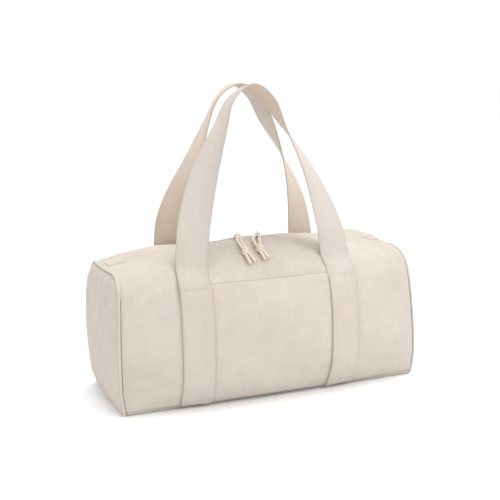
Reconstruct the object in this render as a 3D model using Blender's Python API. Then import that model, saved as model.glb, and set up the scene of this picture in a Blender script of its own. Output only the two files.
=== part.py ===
"""Barrel-shaped travel bag of heavy natural cotton canvas.

The frame has +X along the bag, the front at -Y and +Z up. The origin is the middle of the flat
base, on the surface that the bag stands on. All sizes are in metres and all angles in degrees.
"""

import math

import bmesh
import bpy
from mathutils import Matrix, Vector

# Sewn body
LENGTH = 0.500
DEPTH = 0.244
BELLY = 0.0315
MID_HEIGHT = 0.2395
CROWN_DROP = 0.0245
WAIST_HEIGHT = 0.070
BASE_CORNER = 0.006
END_SQUARENESS = 5.0
MID_SQUARENESS = 2.7
BELLY_FULLNESS = 0.7
CANVAS = 0.0012
GAP = 0.0003
LAYER_SEAT = 0.0006

# End panels, their piping and the seam bindings inside
END_BULGE = 0.013
PIPING_RADIUS = 0.0020
PIPING_PROUD = 0.0008
FLOOR_CLEARANCE = 0.0003
BINDING_WIDTH = 0.010
BINDING_THICKNESS = 0.0024
BINDING_SEAT = 0.0014
BINDING_END_ROOM = 0.003

# Zip along the crown
ZIP_HALF_MOUTH = 0.006
ZIP_END_ROOM = 0.028
TAPE_HALF_WIDTH = 0.016
TAPE_THICKNESS = 0.0007
COIL_WIDTH = 0.0026
COIL_HEIGHT = 0.0018
COIL_DEPTH = 0.0002
POST_WIDTH = 0.0010
POST_LENGTH = 0.0030
TAB_LENGTH = 0.030
TAB_END_ROOM = 0.006
TAB_HALF_WIDTH = 0.013
TAB_THICKNESS = 0.0020

# Sliders and the bails on them
SLIDER_LENGTH = 0.0120
SLIDER_WIDTH = 0.0096
SLIDER_TOP_PLATE = 0.0014
SLIDER_UNDER_PLATE = 0.0010
SLIDER_EDGE = 0.0004
LEFT_SLIDER_X = -0.025
RIGHT_SLIDER_X = 0.010
BAIL_WIRE_RADIUS = 0.0009
BAIL_HALF_SPAN = 0.0047
BAIL_CORNER = 0.0016
BAR_ABOVE_PLATE = 0.0049

# Knotted cord pulls
CORD_RADIUS = 0.0017
PULL_REACH = 0.084
KNOT_AT = 0.057
KNOT_HALF_LENGTH = 0.0065
KNOT_HALF_WIDTH = 0.0050
KNOT_HALF_HEIGHT = 0.0032
STRAND_APART = 0.0021
TAIL_APART = 0.0062
SLIDER_NOSE = 0.010
FABRIC_TOUCH = 0.018
LEFT_PULL_LEAN = 4.0
RIGHT_PULL_LEAN = 11.0

# Carrying straps
STRAP_WIDTH = 0.050
STRAP_THICKNESS = 0.0020
STRAP_SPREAD = 0.124
FRONT_STRAP_SHIFT = -0.012
BACK_STRAP_SHIFT = 0.006
HINGE_DROP = 0.0395
HINGE_ROOM = 0.0008
FRONT_LOOP_RISE = 0.285
BACK_LOOP_RISE = 0.287
LOOP_TOP_SHIFT = -0.0145
LOOPS_APART = 0.0006
TOP_TWIST = 93.0

# Rows of stitching across the strap tops
STITCH_ROW_LENGTH = 0.044
STITCH_ROW_WIDTH = 0.0010
STITCH_ROW_HEIGHT = 0.0006
STITCH_DROP = 0.010

# Slip pocket on the front
POCKET_DROP = 0.0475
POCKET_HEM = 0.010
POCKET_GAPE = 0.0085
POCKET_SIDE_ROOM = 0.0006
HEM_FOLD_STEP = 0.0006

# Legs of the loops from hinge to top: rise, spread, lean inward and twist, each a share
FRONT_LEFT_LEG = (
    (0.00, 1.00, 0.00, 0.00),
    (0.25, 0.925, 0.31, 0.25),
    (0.53, 0.715, 0.61, 0.57),
    (0.78, 0.445, 0.83, 0.93),
    (0.93, 0.27, 0.94, 1.06),
    (1.00, 0.00, 1.00, 1.08),
)
FRONT_RIGHT_LEG = (
    (0.00, 1.00, 0.00, 0.00),
    (0.25, 0.92, 0.31, 0.17),
    (0.53, 0.735, 0.61, 0.52),
    (0.78, 0.44, 0.83, 0.83),
    (0.93, 0.25, 0.94, 1.02),
)
BACK_LEFT_LEG = (
    (0.00, 1.00, 0.00, 0.00),
    (0.25, 0.91, 0.40, 0.25),
    (0.53, 0.665, 0.72, 0.74),
    (0.78, 0.445, 0.90, 1.08),
    (0.93, 0.265, 0.96, 1.12),
    (1.00, 0.00, 1.00, 1.00),
)
BACK_RIGHT_LEG = (
    (0.00, 1.00, 0.00, 0.00),
    (0.25, 0.92, 0.40, 0.25),
    (0.53, 0.695, 0.72, 0.67),
    (0.78, 0.43, 0.90, 1.00),
    (0.93, 0.26, 0.96, 1.03),
)

# The end seams are drawn in towards the top corners and the base
SEAM_DRAW = 0.0055
DRAW_LENGTH = 0.080
DRAW_WAIST = 0.090
DRAW_FOOT = 0.060
DRAW_BESIDE_ZIP = 0.022
DRAW_FULL_DEPTH = 0.060
FLAT_TOLERANCE = 0.000001

# Places of the section's rows and of the end panel's rings, as shares
LOWER_TURN_SHARE = 0.30
LEAST_ROW_SHARE = 0.06
BASE_ACROSS_SHARES = (-1.0, -0.5, 0.0, 0.5, 1.0)
PILLOW_RING_SHARES = (1.0, 0.93, 0.80, 0.60, 0.35)
PILLOW_CENTRE_SHARE = 0.46
POCKET_SIDE_SHARES = (0.0, 0.06, 0.22, 0.5, 0.78, 0.94, 1.0)

# Counts of rows, columns and sides
PANEL_ROWS = 14
PANEL_COLUMNS = 16
ZIP_COLUMNS = 20
CORNER_STEPS = 3
PIPING_SIDES = 6
LEG_STEPS = 5
END_FACETS = 3
CORD_SIDES = 8
WIRE_SIDES = 8
CORD_STEPS = 4
KNOT_SEGMENTS = 12
KNOT_RINGS = 8

# Colours and roughness of the materials
CANVAS_COLOUR = (0.79, 0.74, 0.67, 1.0)
STRAP_COLOUR = (0.81, 0.76, 0.70, 1.0)
CORD_COLOUR = (0.80, 0.73, 0.60, 1.0)
TAPE_COLOUR = (0.74, 0.69, 0.60, 1.0)
COIL_COLOUR = (0.62, 0.56, 0.46, 1.0)
METAL_COLOUR = (0.55, 0.47, 0.33, 1.0)
THREAD_COLOUR = (0.83, 0.79, 0.72, 1.0)
CLOTH_ROUGHNESS = 0.92
COIL_ROUGHNESS = 0.45
METAL_ROUGHNESS = 0.35

FRONT = -1
BACK = 1
LEFT = -1
RIGHT = 1

END_X = LENGTH / 2
HALF_DEPTH = DEPTH / 2 - BELLY
ZIP_HALF_LENGTH = END_X - ZIP_END_ROOM
TAB_OUTER_END = END_X - TAB_END_ROOM
TAB_INNER_END = TAB_OUTER_END - TAB_LENGTH
END_HEIGHT = MID_HEIGHT - CROWN_DROP
HINGE_HEIGHT = MID_HEIGHT - HINGE_DROP
POCKET_TOP = MID_HEIGHT - POCKET_DROP
CROWN_RADIUS = (END_X**2 + CROWN_DROP**2) / (2 * CROWN_DROP)


def remove_all_objects():
    """Clears the scene without closing the file."""
    for item in list(bpy.data.objects):
        bpy.data.objects.remove(item, do_unlink=True)


def material(name, colour, roughness, metallic=0.0):
    """A plain Principled material."""
    made = bpy.data.materials.get(name) or bpy.data.materials.new(name)
    made.use_nodes = True
    shader = made.node_tree.nodes["Principled BSDF"]
    shader.inputs["Base Color"].default_value = colour
    shader.inputs["Roughness"].default_value = roughness
    shader.inputs["Metallic"].default_value = metallic
    return made


def canvas_material():
    return material("cotton_canvas", CANVAS_COLOUR, CLOTH_ROUGHNESS)


def strap_material():
    return material("strap_canvas", STRAP_COLOUR, CLOTH_ROUGHNESS)


def cord_material():
    return material("cotton_cord", CORD_COLOUR, CLOTH_ROUGHNESS)


def tape_material():
    return material("zip_tape", TAPE_COLOUR, CLOTH_ROUGHNESS)


def coil_material():
    return material("zip_coil", COIL_COLOUR, COIL_ROUGHNESS)


def metal_material():
    return material("slider_metal", METAL_COLOUR, METAL_ROUGHNESS, 1.0)


def thread_material():
    return material("sewing_thread", THREAD_COLOUR, CLOTH_ROUGHNESS)


def drawn_in(place):
    """A point of the body, moved in where its end seam is drawn in."""
    reach = min((abs(place.x) - END_X + DRAW_LENGTH) / DRAW_LENGTH, 1.0)
    if reach <= 0.0:
        return place.copy()
    above = min(max((place.z - DRAW_WAIST) / (END_HEIGHT - DRAW_WAIST), 0.0), 1.0)
    below = max((DRAW_FOOT - place.z) / DRAW_FOOT, 0.0)
    beside = (abs(place.y) - DRAW_BESIDE_ZIP) / (DRAW_FULL_DEPTH - DRAW_BESIDE_ZIP)
    beside = min(max(beside, 0.0), 1.0)
    share = reach**2 * max(above**2 * beside, below**2)
    return place - Vector((math.copysign(SEAM_DRAW * share, place.x), 0.0, 0.0))


def is_bent(face):
    middle = face.calc_center_median()
    return any(abs((vert.co - middle).dot(face.normal)) > FLAT_TOLERANCE for vert in face.verts)


def finish_object(name, mesh_builder, finish, smooth=True):
    """Makes an object from a bmesh, with its faces pointing out and its bent faces split."""
    for vert in mesh_builder.verts:
        vert.co = drawn_in(vert.co)
    bmesh.ops.recalc_face_normals(mesh_builder, faces=mesh_builder.faces)
    bent = [face for face in mesh_builder.faces if is_bent(face)]
    bmesh.ops.triangulate(mesh_builder, faces=bent)
    mesh = bpy.data.meshes.new(name)
    mesh_builder.to_mesh(mesh)
    mesh_builder.free()
    made = bpy.data.objects.new(name, mesh)
    bpy.context.scene.collection.objects.link(made)
    mesh.materials.append(finish)
    if smooth:
        mesh.shade_smooth()
        mesh.set_sharp_from_angle(angle=math.radians(40.0))
    return made


def swell(x):
    """How full the section is: 1 at mid length and 0 at the end seams."""
    return max(0.0, 1.0 - (x / END_X) ** 2)


def crown_height(x):
    """The zip line is an arc, so that the sliders can follow it."""
    return MID_HEIGHT - CROWN_RADIUS + math.sqrt(CROWN_RADIUS**2 - x * x)


def half_depth(x):
    return HALF_DEPTH + BELLY * swell(x) ** BELLY_FULLNESS


def squareness(x):
    return END_SQUARENESS + (MID_SQUARENESS - END_SQUARENESS) * math.sqrt(swell(x))


def rise(x):
    """Height of the domed part of the section above the waist."""
    return crown_height(x) - WAIST_HEIGHT


def lower_depth(x, z):
    """Half depth of the section below the waist."""
    share = 1.0 - (1.0 - z / WAIST_HEIGHT) ** 2
    return HALF_DEPTH + (half_depth(x) - HALF_DEPTH) * share


def dome_depth(x, z):
    """Half depth of the section at a height above the waist."""
    power = squareness(x)
    share = 1.0 - ((z - WAIST_HEIGHT) / rise(x)) ** power
    return half_depth(x) * share ** (1.0 / power)


def top_height(x, y):
    """Height of the domed top over a point of the plan."""
    power = squareness(x)
    share = 1.0 - (abs(y) / half_depth(x)) ** power
    return WAIST_HEIGHT + rise(x) * share ** (1.0 / power)


def body_point(x, turn, side):
    """A point of the outer surface, from the base seam at turn 0 to the crown at turn 1."""
    if turn <= LOWER_TURN_SHARE:
        z = BASE_CORNER + (WAIST_HEIGHT - BASE_CORNER) * turn / LOWER_TURN_SHARE
        return Vector((x, side * lower_depth(x, z), z))
    angle = math.pi / 2 * (turn - LOWER_TURN_SHARE) / (1.0 - LOWER_TURN_SHARE)
    power = squareness(x)
    across = (math.cos(angle) / half_depth(x)) ** power
    upward = (math.sin(angle) / rise(x)) ** power
    reach = (across + upward) ** (-1.0 / power)
    return Vector((x, side * reach * math.cos(angle), WAIST_HEIGHT + reach * math.sin(angle)))


def turn_of(y, z):
    """The turn of a point above the waist, from its depth and height."""
    angle = math.atan2(z - WAIST_HEIGHT, abs(y))
    return LOWER_TURN_SHARE + (1.0 - LOWER_TURN_SHARE) * angle / (math.pi / 2)


def mouth_turn(x):
    """The turn at which a panel ends, beside the zip."""
    return turn_of(ZIP_HALF_MOUTH, top_height(x, ZIP_HALF_MOUTH))


def turn_at_height(x, z):
    return turn_of(dome_depth(x, z), z)


def panel_turns(stations, last_turn):
    """The panel's own rows below a turn, then that turn, so that layers lie parallel to it."""
    shares = [last_turn(x) / mouth_turn(x) * PANEL_ROWS for x in stations]
    count = min(math.ceil(share - LEAST_ROW_SHARE) for share in shares)
    table = []
    for x in stations:
        rows = [mouth_turn(x) * row / PANEL_ROWS for row in range(count)]
        table.append(rows + [last_turn(x)])
    return table


def spread_between(low, high, steps):
    return [low + (high - low) * step / steps for step in range(steps + 1)]


def panel_columns():
    """Stations along the bag, closer together towards the end seams."""
    angles = spread_between(-math.pi / 2, math.pi / 2, PANEL_COLUMNS)
    return [END_X * math.sin(angle) for angle in angles]


def grid_normal(grid, i, j):
    """Normal of a grid of points, along X crossed with the second direction."""
    along = grid[min(i + 1, len(grid) - 1)][j] - grid[max(i - 1, 0)][j]
    across = grid[i][min(j + 1, len(grid[i]) - 1)] - grid[i][max(j - 1, 0)]
    return along.cross(across).normalized()


def offset_grid(grid, lift):
    """The grid moved along its normals by a lift for each point."""
    return [
        [grid[i][j] + grid_normal(grid, i, j) * lift(i, j) for j in range(len(grid[i]))]
        for i in range(len(grid))
    ]


def solid_between(name, lower, upper, finish):
    """A closed sheet between two grids of the same size."""
    builder = bmesh.new()
    low = [[builder.verts.new(point) for point in row] for row in lower]
    high = [[builder.verts.new(point) for point in row] for row in upper]
    last_i = len(low) - 1
    last_j = len(low[0]) - 1
    for i in range(last_i):
        for j in range(last_j):
            builder.faces.new((low[i][j], low[i][j + 1], low[i + 1][j + 1], low[i + 1][j]))
            builder.faces.new((high[i][j], high[i + 1][j], high[i + 1][j + 1], high[i][j + 1]))
    for i in range(last_i):
        builder.faces.new((low[i][0], low[i + 1][0], high[i + 1][0], high[i][0]))
        builder.faces.new((low[i][last_j], high[i][last_j], high[i + 1][last_j], low[i + 1][last_j]))
    for j in range(last_j):
        builder.faces.new((low[0][j], high[0][j], high[0][j + 1], low[0][j + 1]))
        builder.faces.new((low[last_i][j], low[last_i][j + 1], high[last_i][j + 1], high[last_i][j]))
    return finish_object(name, builder, finish)


def layer(name, grid, outward, low, high, finish):
    """A sheet parallel to a surface grid, between two heights above it."""
    lower = offset_grid(grid, lambda i, j: outward * low)
    upper = offset_grid(grid, lambda i, j: outward * high)
    return solid_between(name, lower, upper, finish)


def surface_grid(stations, last_turn, side):
    """Grid of the body's surface over stations, from the base seam to a turn at each station."""
    table = panel_turns(stations, last_turn)
    return [[body_point(x, turn, side) for turn in turns] for x, turns in zip(stations, table)]


def top_grid(stations, depths):
    """Grid of the body's top over stations along the bag and depths across it."""
    return [[Vector((x, y, top_height(x, y))) for y in depths] for x in stations]


def make_body_panel(name, side):
    """Front or back panel, from the base seam over the shoulder to the zip."""
    grid = surface_grid(panel_columns(), mouth_turn, side)
    for row in grid:
        row[0].z += GAP
    layer(name, grid, -side, -CANVAS, 0.0, canvas_material())


def base_half_section(x, side):
    """Rolled edge of the base, from the flat bottom up to the base seam."""
    flat = HALF_DEPTH - BASE_CORNER
    roll = lower_depth(x, BASE_CORNER) - flat
    points = []
    for angle in spread_between(0.0, math.pi / 2, CORNER_STEPS):
        y = side * (flat + roll * math.sin(angle))
        points.append(Vector((x, y, BASE_CORNER * (1.0 - math.cos(angle)))))
    return points


def make_base_panel():
    """Flat base whose long edges roll up to the base seams."""
    flat = HALF_DEPTH - BASE_CORNER
    grid = []
    for x in panel_columns():
        middle = [Vector((x, flat * share, 0.0)) for share in BASE_ACROSS_SHARES[1:-1]]
        grid.append(base_half_section(x, FRONT)[::-1] + middle + base_half_section(x, BACK))
    layer("base_panel", grid, -1, -CANVAS, 0.0, canvas_material())


def section_outline(x):
    """Closed outline of the body's section in the YZ plane, on the panels' own rows."""
    halves = []
    for side in (FRONT, BACK):
        rows = [mouth_turn(x) * row / PANEL_ROWS for row in range(1, PANEL_ROWS + 1)]
        wall = [body_point(x, turn, side) for turn in rows]
        halves.append([(point.y, point.z) for point in base_half_section(x, side) + wall])
    middle = [((HALF_DEPTH - BASE_CORNER) * share, 0.0) for share in BASE_ACROSS_SHARES[1:-1]]
    return halves[1] + [(0.0, crown_height(x))] + halves[0][::-1] + middle


def facet_outline(x):
    """Outline at any place along the bag, on the flat facets between the panels' columns."""
    columns = panel_columns()
    after = next(index for index, column in enumerate(columns) if column >= x)
    after = max(after, 1)
    share = (x - columns[after - 1]) / (columns[after] - columns[after - 1])
    near = section_outline(columns[after - 1])
    far = section_outline(columns[after])
    return [(a[0] + (b[0] - a[0]) * share, a[1] + (b[1] - a[1]) * share) for a, b in zip(near, far)]


def inset_outline(outline, inset, lowest):
    """The outline moved inward, and kept above a lowest height."""
    points = []
    for index, (y, z) in enumerate(outline):
        before = outline[index - 1]
        after = outline[(index + 1) % len(outline)]
        along = Vector((after[0] - before[0], after[1] - before[1])).normalized()
        points.append((y - along.y * inset, max(z + along.x * inset, lowest)))
    return [(y, z) for y, z in points]


def ring_around(name, profile, finish):
    """A closed ring: a profile of (outline, inset, x, lowest height) corners carried round."""
    builder = bmesh.new()
    loops = []
    for outline, inset, x, lowest in profile:
        points = inset_outline(outline, inset, lowest)
        loops.append([builder.verts.new((x, y, z)) for y, z in points])
    count = len(loops[0])
    for corner in range(len(loops)):
        first = loops[corner]
        second = loops[(corner + 1) % len(loops)]
        for index in range(count):
            after = (index + 1) % count
            builder.faces.new((first[index], first[after], second[after], second[index]))
    return finish_object(name, builder, finish)


def make_end_piping(name, side):
    """Covered cord in the end seam, standing a little proud of the panels."""
    x = side * (END_X + GAP + PIPING_RADIUS)
    outline = section_outline(END_X)
    profile = []
    for step in range(PIPING_SIDES):
        angle = 2 * math.pi * (step + 0.5) / PIPING_SIDES
        inset = PIPING_RADIUS - PIPING_PROUD + PIPING_RADIUS * math.sin(angle)
        lowest = FLOOR_CLEARANCE + PIPING_RADIUS + PIPING_RADIUS * math.sin(angle)
        profile.append((outline, inset, x + PIPING_RADIUS * math.cos(angle), lowest))
    ring_around(name, profile, canvas_material())


def make_end_binding(name, side):
    """Bound seam allowance inside the end seam."""
    outer = CANVAS + BINDING_SEAT
    inner = outer + BINDING_THICKNESS
    near = END_X - GAP
    far = near - BINDING_WIDTH
    between = [x for x in panel_columns() if far < x < near]
    places = [near] + between[::-1] + [far]
    corners = [(outer, x) for x in places] + [(inner, x) for x in places[::-1]]
    profile = [(facet_outline(x), inset, side * x, inset) for inset, x in corners]
    ring_around(name, profile, tape_material())


def make_end_panel(name, side):
    """End panel: a pillow that bulges out of the end seam."""
    inset = 2 * PIPING_RADIUS - PIPING_PROUD + GAP
    lowest = FLOOR_CLEARANCE + 2 * PIPING_RADIUS + GAP
    outline = inset_outline(section_outline(END_X), inset, lowest)
    centre = Vector((0.0, END_HEIGHT * PILLOW_CENTRE_SHARE))
    builder = bmesh.new()
    skins = []
    for depth in (0.0, CANVAS):
        rings = []
        for share in PILLOW_RING_SHARES:
            bulge = END_BULGE * math.sqrt(1.0 - share**4)
            x = side * (END_X + GAP + CANVAS + bulge - depth)
            places = [centre + (Vector(point) - centre) * share for point in outline]
            rings.append([builder.verts.new((x, place.x, place.y)) for place in places])
        tip = builder.verts.new((side * (END_X + GAP + CANVAS + END_BULGE - depth), *centre))
        skins.append((rings, tip))
    count = len(outline)
    for rings, tip in skins:
        for ring, following in zip(rings, rings[1:]):
            for index in range(count):
                after = (index + 1) % count
                builder.faces.new((ring[index], ring[after], following[after], following[index]))
        for index in range(count):
            builder.faces.new((rings[-1][index], rings[-1][(index + 1) % count], tip))
    outer_rim = skins[0][0][0]
    inner_rim = skins[1][0][0]
    for index in range(count):
        after = (index + 1) % count
        builder.faces.new((outer_rim[index], outer_rim[after], inner_rim[after], inner_rim[index]))
    finish_object(name, builder, canvas_material())


def make_base_binding(name, side):
    """Bound seam allowance inside a base seam."""
    reach = END_X - BINDING_WIDTH - BINDING_END_ROOM
    stations = [x for x in panel_columns() if abs(x) < reach]
    stations = [-reach] + stations + [reach]
    low_turn = LOWER_TURN_SHARE * GAP / WAIST_HEIGHT
    high_turn = LOWER_TURN_SHARE * BINDING_WIDTH / WAIST_HEIGHT
    turns = spread_between(low_turn, high_turn, 1)
    grid = [[body_point(x, turn, side) for turn in turns] for x in stations]
    high = -CANVAS - BINDING_SEAT
    layer(name, grid, -side, high - BINDING_THICKNESS, high, tape_material())


def zip_stations():
    return spread_between(-ZIP_HALF_LENGTH, ZIP_HALF_LENGTH, ZIP_COLUMNS)


def coil_edge():
    """Distance of each coil from the middle line, clear of the sliders' posts."""
    return POST_WIDTH / 2 + GAP


def make_zip_tape(name, side):
    """Woven tape under the panel's edge, with the coil beside its inner edge."""
    inner = coil_edge() + COIL_WIDTH + GAP
    grid = []
    for x in zip_stations():
        edge = body_point(x, mouth_turn(x), side)
        next_row = body_point(x, mouth_turn(x) * (PANEL_ROWS - 1) / PANEL_ROWS, side)
        share = (TAPE_HALF_WIDTH - ZIP_HALF_MOUTH) / (abs(next_row.y) - ZIP_HALF_MOUTH)
        grid.append([edge.lerp(next_row, share), edge, Vector((x, side * inner, edge.z))])
    high = -CANVAS - LAYER_SEAT
    layer(name, grid, -side, high - TAPE_THICKNESS, high, tape_material())


def make_zip_coil(name, side):
    """One half of the closed chain, as a strip that follows the crown."""
    depths = sorted(side * y for y in (coil_edge(), coil_edge() + COIL_WIDTH))
    grid = top_grid(zip_stations(), depths)
    layer(name, grid, 1, -COIL_DEPTH - COIL_HEIGHT, -COIL_DEPTH, coil_material())


def make_zip_tab(name, side):
    """Canvas tab over the end of the zip."""
    stations = sorted(side * x for x in spread_between(TAB_INNER_END, TAB_OUTER_END, 2))
    depths = (-TAB_HALF_WIDTH, -ZIP_HALF_MOUTH, ZIP_HALF_MOUTH, TAB_HALF_WIDTH)
    grid = top_grid(stations, depths)
    layer(name, grid, 1, LAYER_SEAT, LAYER_SEAT + TAB_THICKNESS, canvas_material())


def crown_matrix(x):
    """Frame on the crown: X along the zip, Z straight out of the bag."""
    angle = math.asin(x / CROWN_RADIUS)
    centre = Vector((0.0, 0.0, MID_HEIGHT - CROWN_RADIUS))
    turn = Matrix.Rotation(angle, 4, "Y")
    return Matrix.Translation(centre) @ turn @ Matrix.Translation((0.0, 0.0, CROWN_RADIUS))


def add_block(builder, size, centre):
    """A block with softened edges."""
    made = bmesh.ops.create_cube(builder, size=1.0)
    bmesh.ops.scale(builder, vec=size, verts=made["verts"])
    bmesh.ops.translate(builder, vec=centre, verts=made["verts"])
    edges = list({edge for vert in made["verts"] for edge in vert.link_edges})
    bmesh.ops.bevel(
        builder, geom=edges, offset=SLIDER_EDGE, offset_type="OFFSET",
        segments=1, profile=0.5, affect="EDGES", material=-1,
    )


def add_tube(builder, path, radius, sides):
    """A closed round tube along a path, its section carried without twist."""
    tangents = []
    for index in range(len(path)):
        before = path[max(index - 1, 0)]
        after = path[min(index + 1, len(path) - 1)]
        tangents.append((after - before).normalized())
    across = tangents[0].orthogonal().normalized()
    rings = []
    for point, tangent in zip(path, tangents):
        across = (across - tangent * across.dot(tangent)).normalized()
        upward = tangent.cross(across)
        ring = []
        for step in range(sides):
            angle = 2 * math.pi * step / sides
            place = point + (across * math.cos(angle) + upward * math.sin(angle)) * radius
            ring.append(builder.verts.new(place))
        rings.append(ring)
    for ring, following in zip(rings, rings[1:]):
        for step in range(sides):
            after = (step + 1) % sides
            builder.faces.new((ring[step], ring[after], following[after], following[step]))
    builder.faces.new(rings[0][::-1])
    builder.faces.new(rings[-1])


def smooth_path(points, steps):
    """Points on a smooth curve through the given ones."""
    ends = [points[0] * 2 - points[1]] + list(points) + [points[-1] * 2 - points[-2]]
    path = []
    for index in range(1, len(ends) - 2):
        before, start, finish, after = ends[index - 1 : index + 3]
        for step in range(steps):
            t = step / steps
            pull = (finish - before) / 2
            lead = (after - start) / 2
            path.append(
                start * (2 * t**3 - 3 * t**2 + 1) + pull * (t**3 - 2 * t**2 + t)
                + finish * (3 * t**2 - 2 * t**3) + lead * (t**3 - t**2)
            )
    path.append(points[-1].copy())
    return path


def plate_top():
    """Height of the slider's upper plate above the crown."""
    return GAP - COIL_DEPTH + SLIDER_TOP_PLATE


def bar_height():
    """Height of the bail's bar above the crown."""
    return plate_top() + BAR_ABOVE_PLATE


def join_by_union(base, guest):
    """Fuses a guide object into the base with a live Boolean."""
    guest.hide_render = True
    guest.display_type = "WIRE"
    fuse = base.modifiers.new("fuse_" + guest.name, "BOOLEAN")
    fuse.operation = "UNION"
    fuse.solver = "EXACT"
    fuse.object = guest


def hinge_empty(name, place):
    """An empty on a joint's axis, which carries the moving piece."""
    pivot = bpy.data.objects.new(name, None)
    bpy.context.scene.collection.objects.link(pivot)
    pivot.location = place
    return pivot


def hang_on(piece, pivot):
    """Parents a piece that is modelled in place to the empty on its axis."""
    piece.parent = pivot
    piece.matrix_parent_inverse = Matrix.Translation(pivot.location).inverted()


def make_slider(name, x, pivot):
    """Slider: plates over and under the chain, a post between them and a bail for the cord."""
    place = crown_matrix(x)
    builder = bmesh.new()
    top_size = (SLIDER_LENGTH, SLIDER_WIDTH, SLIDER_TOP_PLATE)
    add_block(builder, top_size, (0.0, 0.0, plate_top() - SLIDER_TOP_PLATE / 2))
    tape_bottom = CANVAS + LAYER_SEAT + TAPE_THICKNESS
    under = -max(tape_bottom, COIL_DEPTH + COIL_HEIGHT) - GAP - SLIDER_UNDER_PLATE / 2
    add_block(builder, (SLIDER_LENGTH, SLIDER_WIDTH, SLIDER_UNDER_PLATE), (0.0, 0.0, under))
    builder.transform(place)
    slider = finish_object(name, builder, metal_material())
    post_foot = under
    post_head = plate_top() - SLIDER_TOP_PLATE / 2
    column = bmesh.new()
    post_size = (POST_LENGTH, POST_WIDTH, post_head - post_foot)
    made = bmesh.ops.create_cube(column, size=1.0)
    bmesh.ops.scale(column, vec=post_size, verts=made["verts"])
    bmesh.ops.translate(column, vec=(0.0, 0.0, (post_head + post_foot) / 2), verts=made["verts"])
    column.transform(place)
    post = finish_object(name + "_post_guide", column, metal_material())
    join_by_union(slider, post)
    foot = plate_top() - SLIDER_TOP_PLATE / 2
    corner = BAIL_HALF_SPAN - BAIL_CORNER
    side = [Vector((BAIL_HALF_SPAN, 0.0, foot)), Vector((BAIL_HALF_SPAN, 0.0, bar_height() - BAIL_CORNER))]
    for angle in spread_between(0.0, math.pi / 2, CORNER_STEPS)[1:]:
        across = corner + BAIL_CORNER * math.cos(angle)
        height = bar_height() - BAIL_CORNER * (1.0 - math.sin(angle))
        side.append(Vector((across, 0.0, height)))
    other = [Vector((-point.x, 0.0, point.z)) for point in reversed(side)]
    wire = bmesh.new()
    add_tube(wire, side + other, BAIL_WIRE_RADIUS, WIRE_SIDES)
    wire.transform(place)
    bail = finish_object(name + "_bail_guide", wire, metal_material())
    join_by_union(slider, bail)
    for piece in (slider, post, bail):
        hang_on(piece, pivot)


def on_fabric(x, y, lift):
    """A point at a distance from the domed top, straight out of it."""
    step = GAP
    slope_x = (top_height(x + step, y) - top_height(x - step, y)) / (2 * step)
    slope_y = (top_height(x, y + step) - top_height(x, y - step)) / (2 * step)
    normal = Vector((-slope_x, -slope_y, 1.0)).normalized()
    return Vector((x, y, top_height(x, y))) + normal * lift


def pull_path(slider_x, lean):
    """The cord of a pull: from one tail end, round the bail's bar, to the other tail end."""
    bar = crown_matrix(slider_x) @ Vector((0.0, 0.0, bar_height()))
    ahead = Vector((-math.sin(math.radians(lean)), -math.cos(math.radians(lean)), 0.0))
    aside = Vector((ahead.y, -ahead.x, 0.0))
    wrap = BAIL_WIRE_RADIUS + GAP + CORD_RADIUS
    lift = CORD_RADIUS + LAYER_SEAT

    def lying(reach, apart, height=lift):
        place = bar + ahead * reach + aside * apart
        return on_fabric(place.x, place.y, height)

    def strand(way):
        nose = bar + ahead * SLIDER_NOSE + aside * (way * STRAND_APART * 0.75)
        nose.z = (bar.z + way * wrap + lying(SLIDER_NOSE, 0.0).z + CORD_RADIUS) / 2
        return [
            nose,
            lying(FABRIC_TOUCH, way * STRAND_APART),
            lying((FABRIC_TOUCH + KNOT_AT) / 2, way * STRAND_APART),
            lying(KNOT_AT, way * STRAND_APART, KNOT_HALF_HEIGHT + LAYER_SEAT),
            lying((KNOT_AT + PULL_REACH) / 2, way * (STRAND_APART + TAIL_APART) / 2),
            lying(PULL_REACH + way * STRAND_APART, way * TAIL_APART),
        ]

    straight = Vector((0.0, -1.0, 0.0))
    turn = []
    for degrees in (-90.0, -135.0, 180.0, 135.0, 90.0):
        angle = math.radians(degrees)
        turn.append(bar + straight * (wrap * math.cos(angle)) + Vector((0.0, 0.0, wrap * math.sin(angle))))
    return strand(-1)[::-1] + turn + strand(1)


def make_pull(name, slider_x, lean, pivot):
    """A knotted cord, doubled through the bail and lying down the front of the crown."""
    points = pull_path(slider_x, lean)
    cord = bmesh.new()
    add_tube(cord, smooth_path(points, CORD_STEPS), CORD_RADIUS, CORD_SIDES)
    pull = finish_object(name, cord, cord_material())
    before_knot = (points[3] + points[-4]) / 2
    knot_place = (points[2] + points[-3]) / 2
    knot = bmesh.new()
    made = bmesh.ops.create_uvsphere(knot, u_segments=KNOT_SEGMENTS, v_segments=KNOT_RINGS, radius=1.0)
    size = (KNOT_HALF_WIDTH, KNOT_HALF_HEIGHT, KNOT_HALF_LENGTH)
    bmesh.ops.scale(knot, vec=size, verts=made["verts"])
    along = (before_knot - knot_place).normalized()
    across = (points[2] - points[-3]).normalized()
    outward = along.cross(across).normalized()
    across = outward.cross(along)
    frame = Matrix((across, outward, along)).transposed().to_4x4()
    knot.transform(Matrix.Translation(knot_place) @ frame)
    guide = finish_object(name + "_knot_guide", knot, cord_material())
    join_by_union(pull, guide)
    hang_on(pull, pivot)
    hang_on(guide, pivot)


def strap_centres(shift):
    return (shift - STRAP_SPREAD, shift + STRAP_SPREAD)


def strap_shift(side):
    return FRONT_STRAP_SHIFT if side == FRONT else BACK_STRAP_SHIFT


def hinge_depth(side):
    """Distance of a loop's hinge axis from the middle plane, clear of the body under both straps."""
    edges = []
    for centre in strap_centres(strap_shift(side)):
        for edge in (centre - STRAP_WIDTH / 2, centre + STRAP_WIDTH / 2):
            edges.append(dome_depth(edge, HINGE_HEIGHT))
    return max(edges) + LAYER_SEAT + STRAP_THICKNESS / 2


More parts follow.
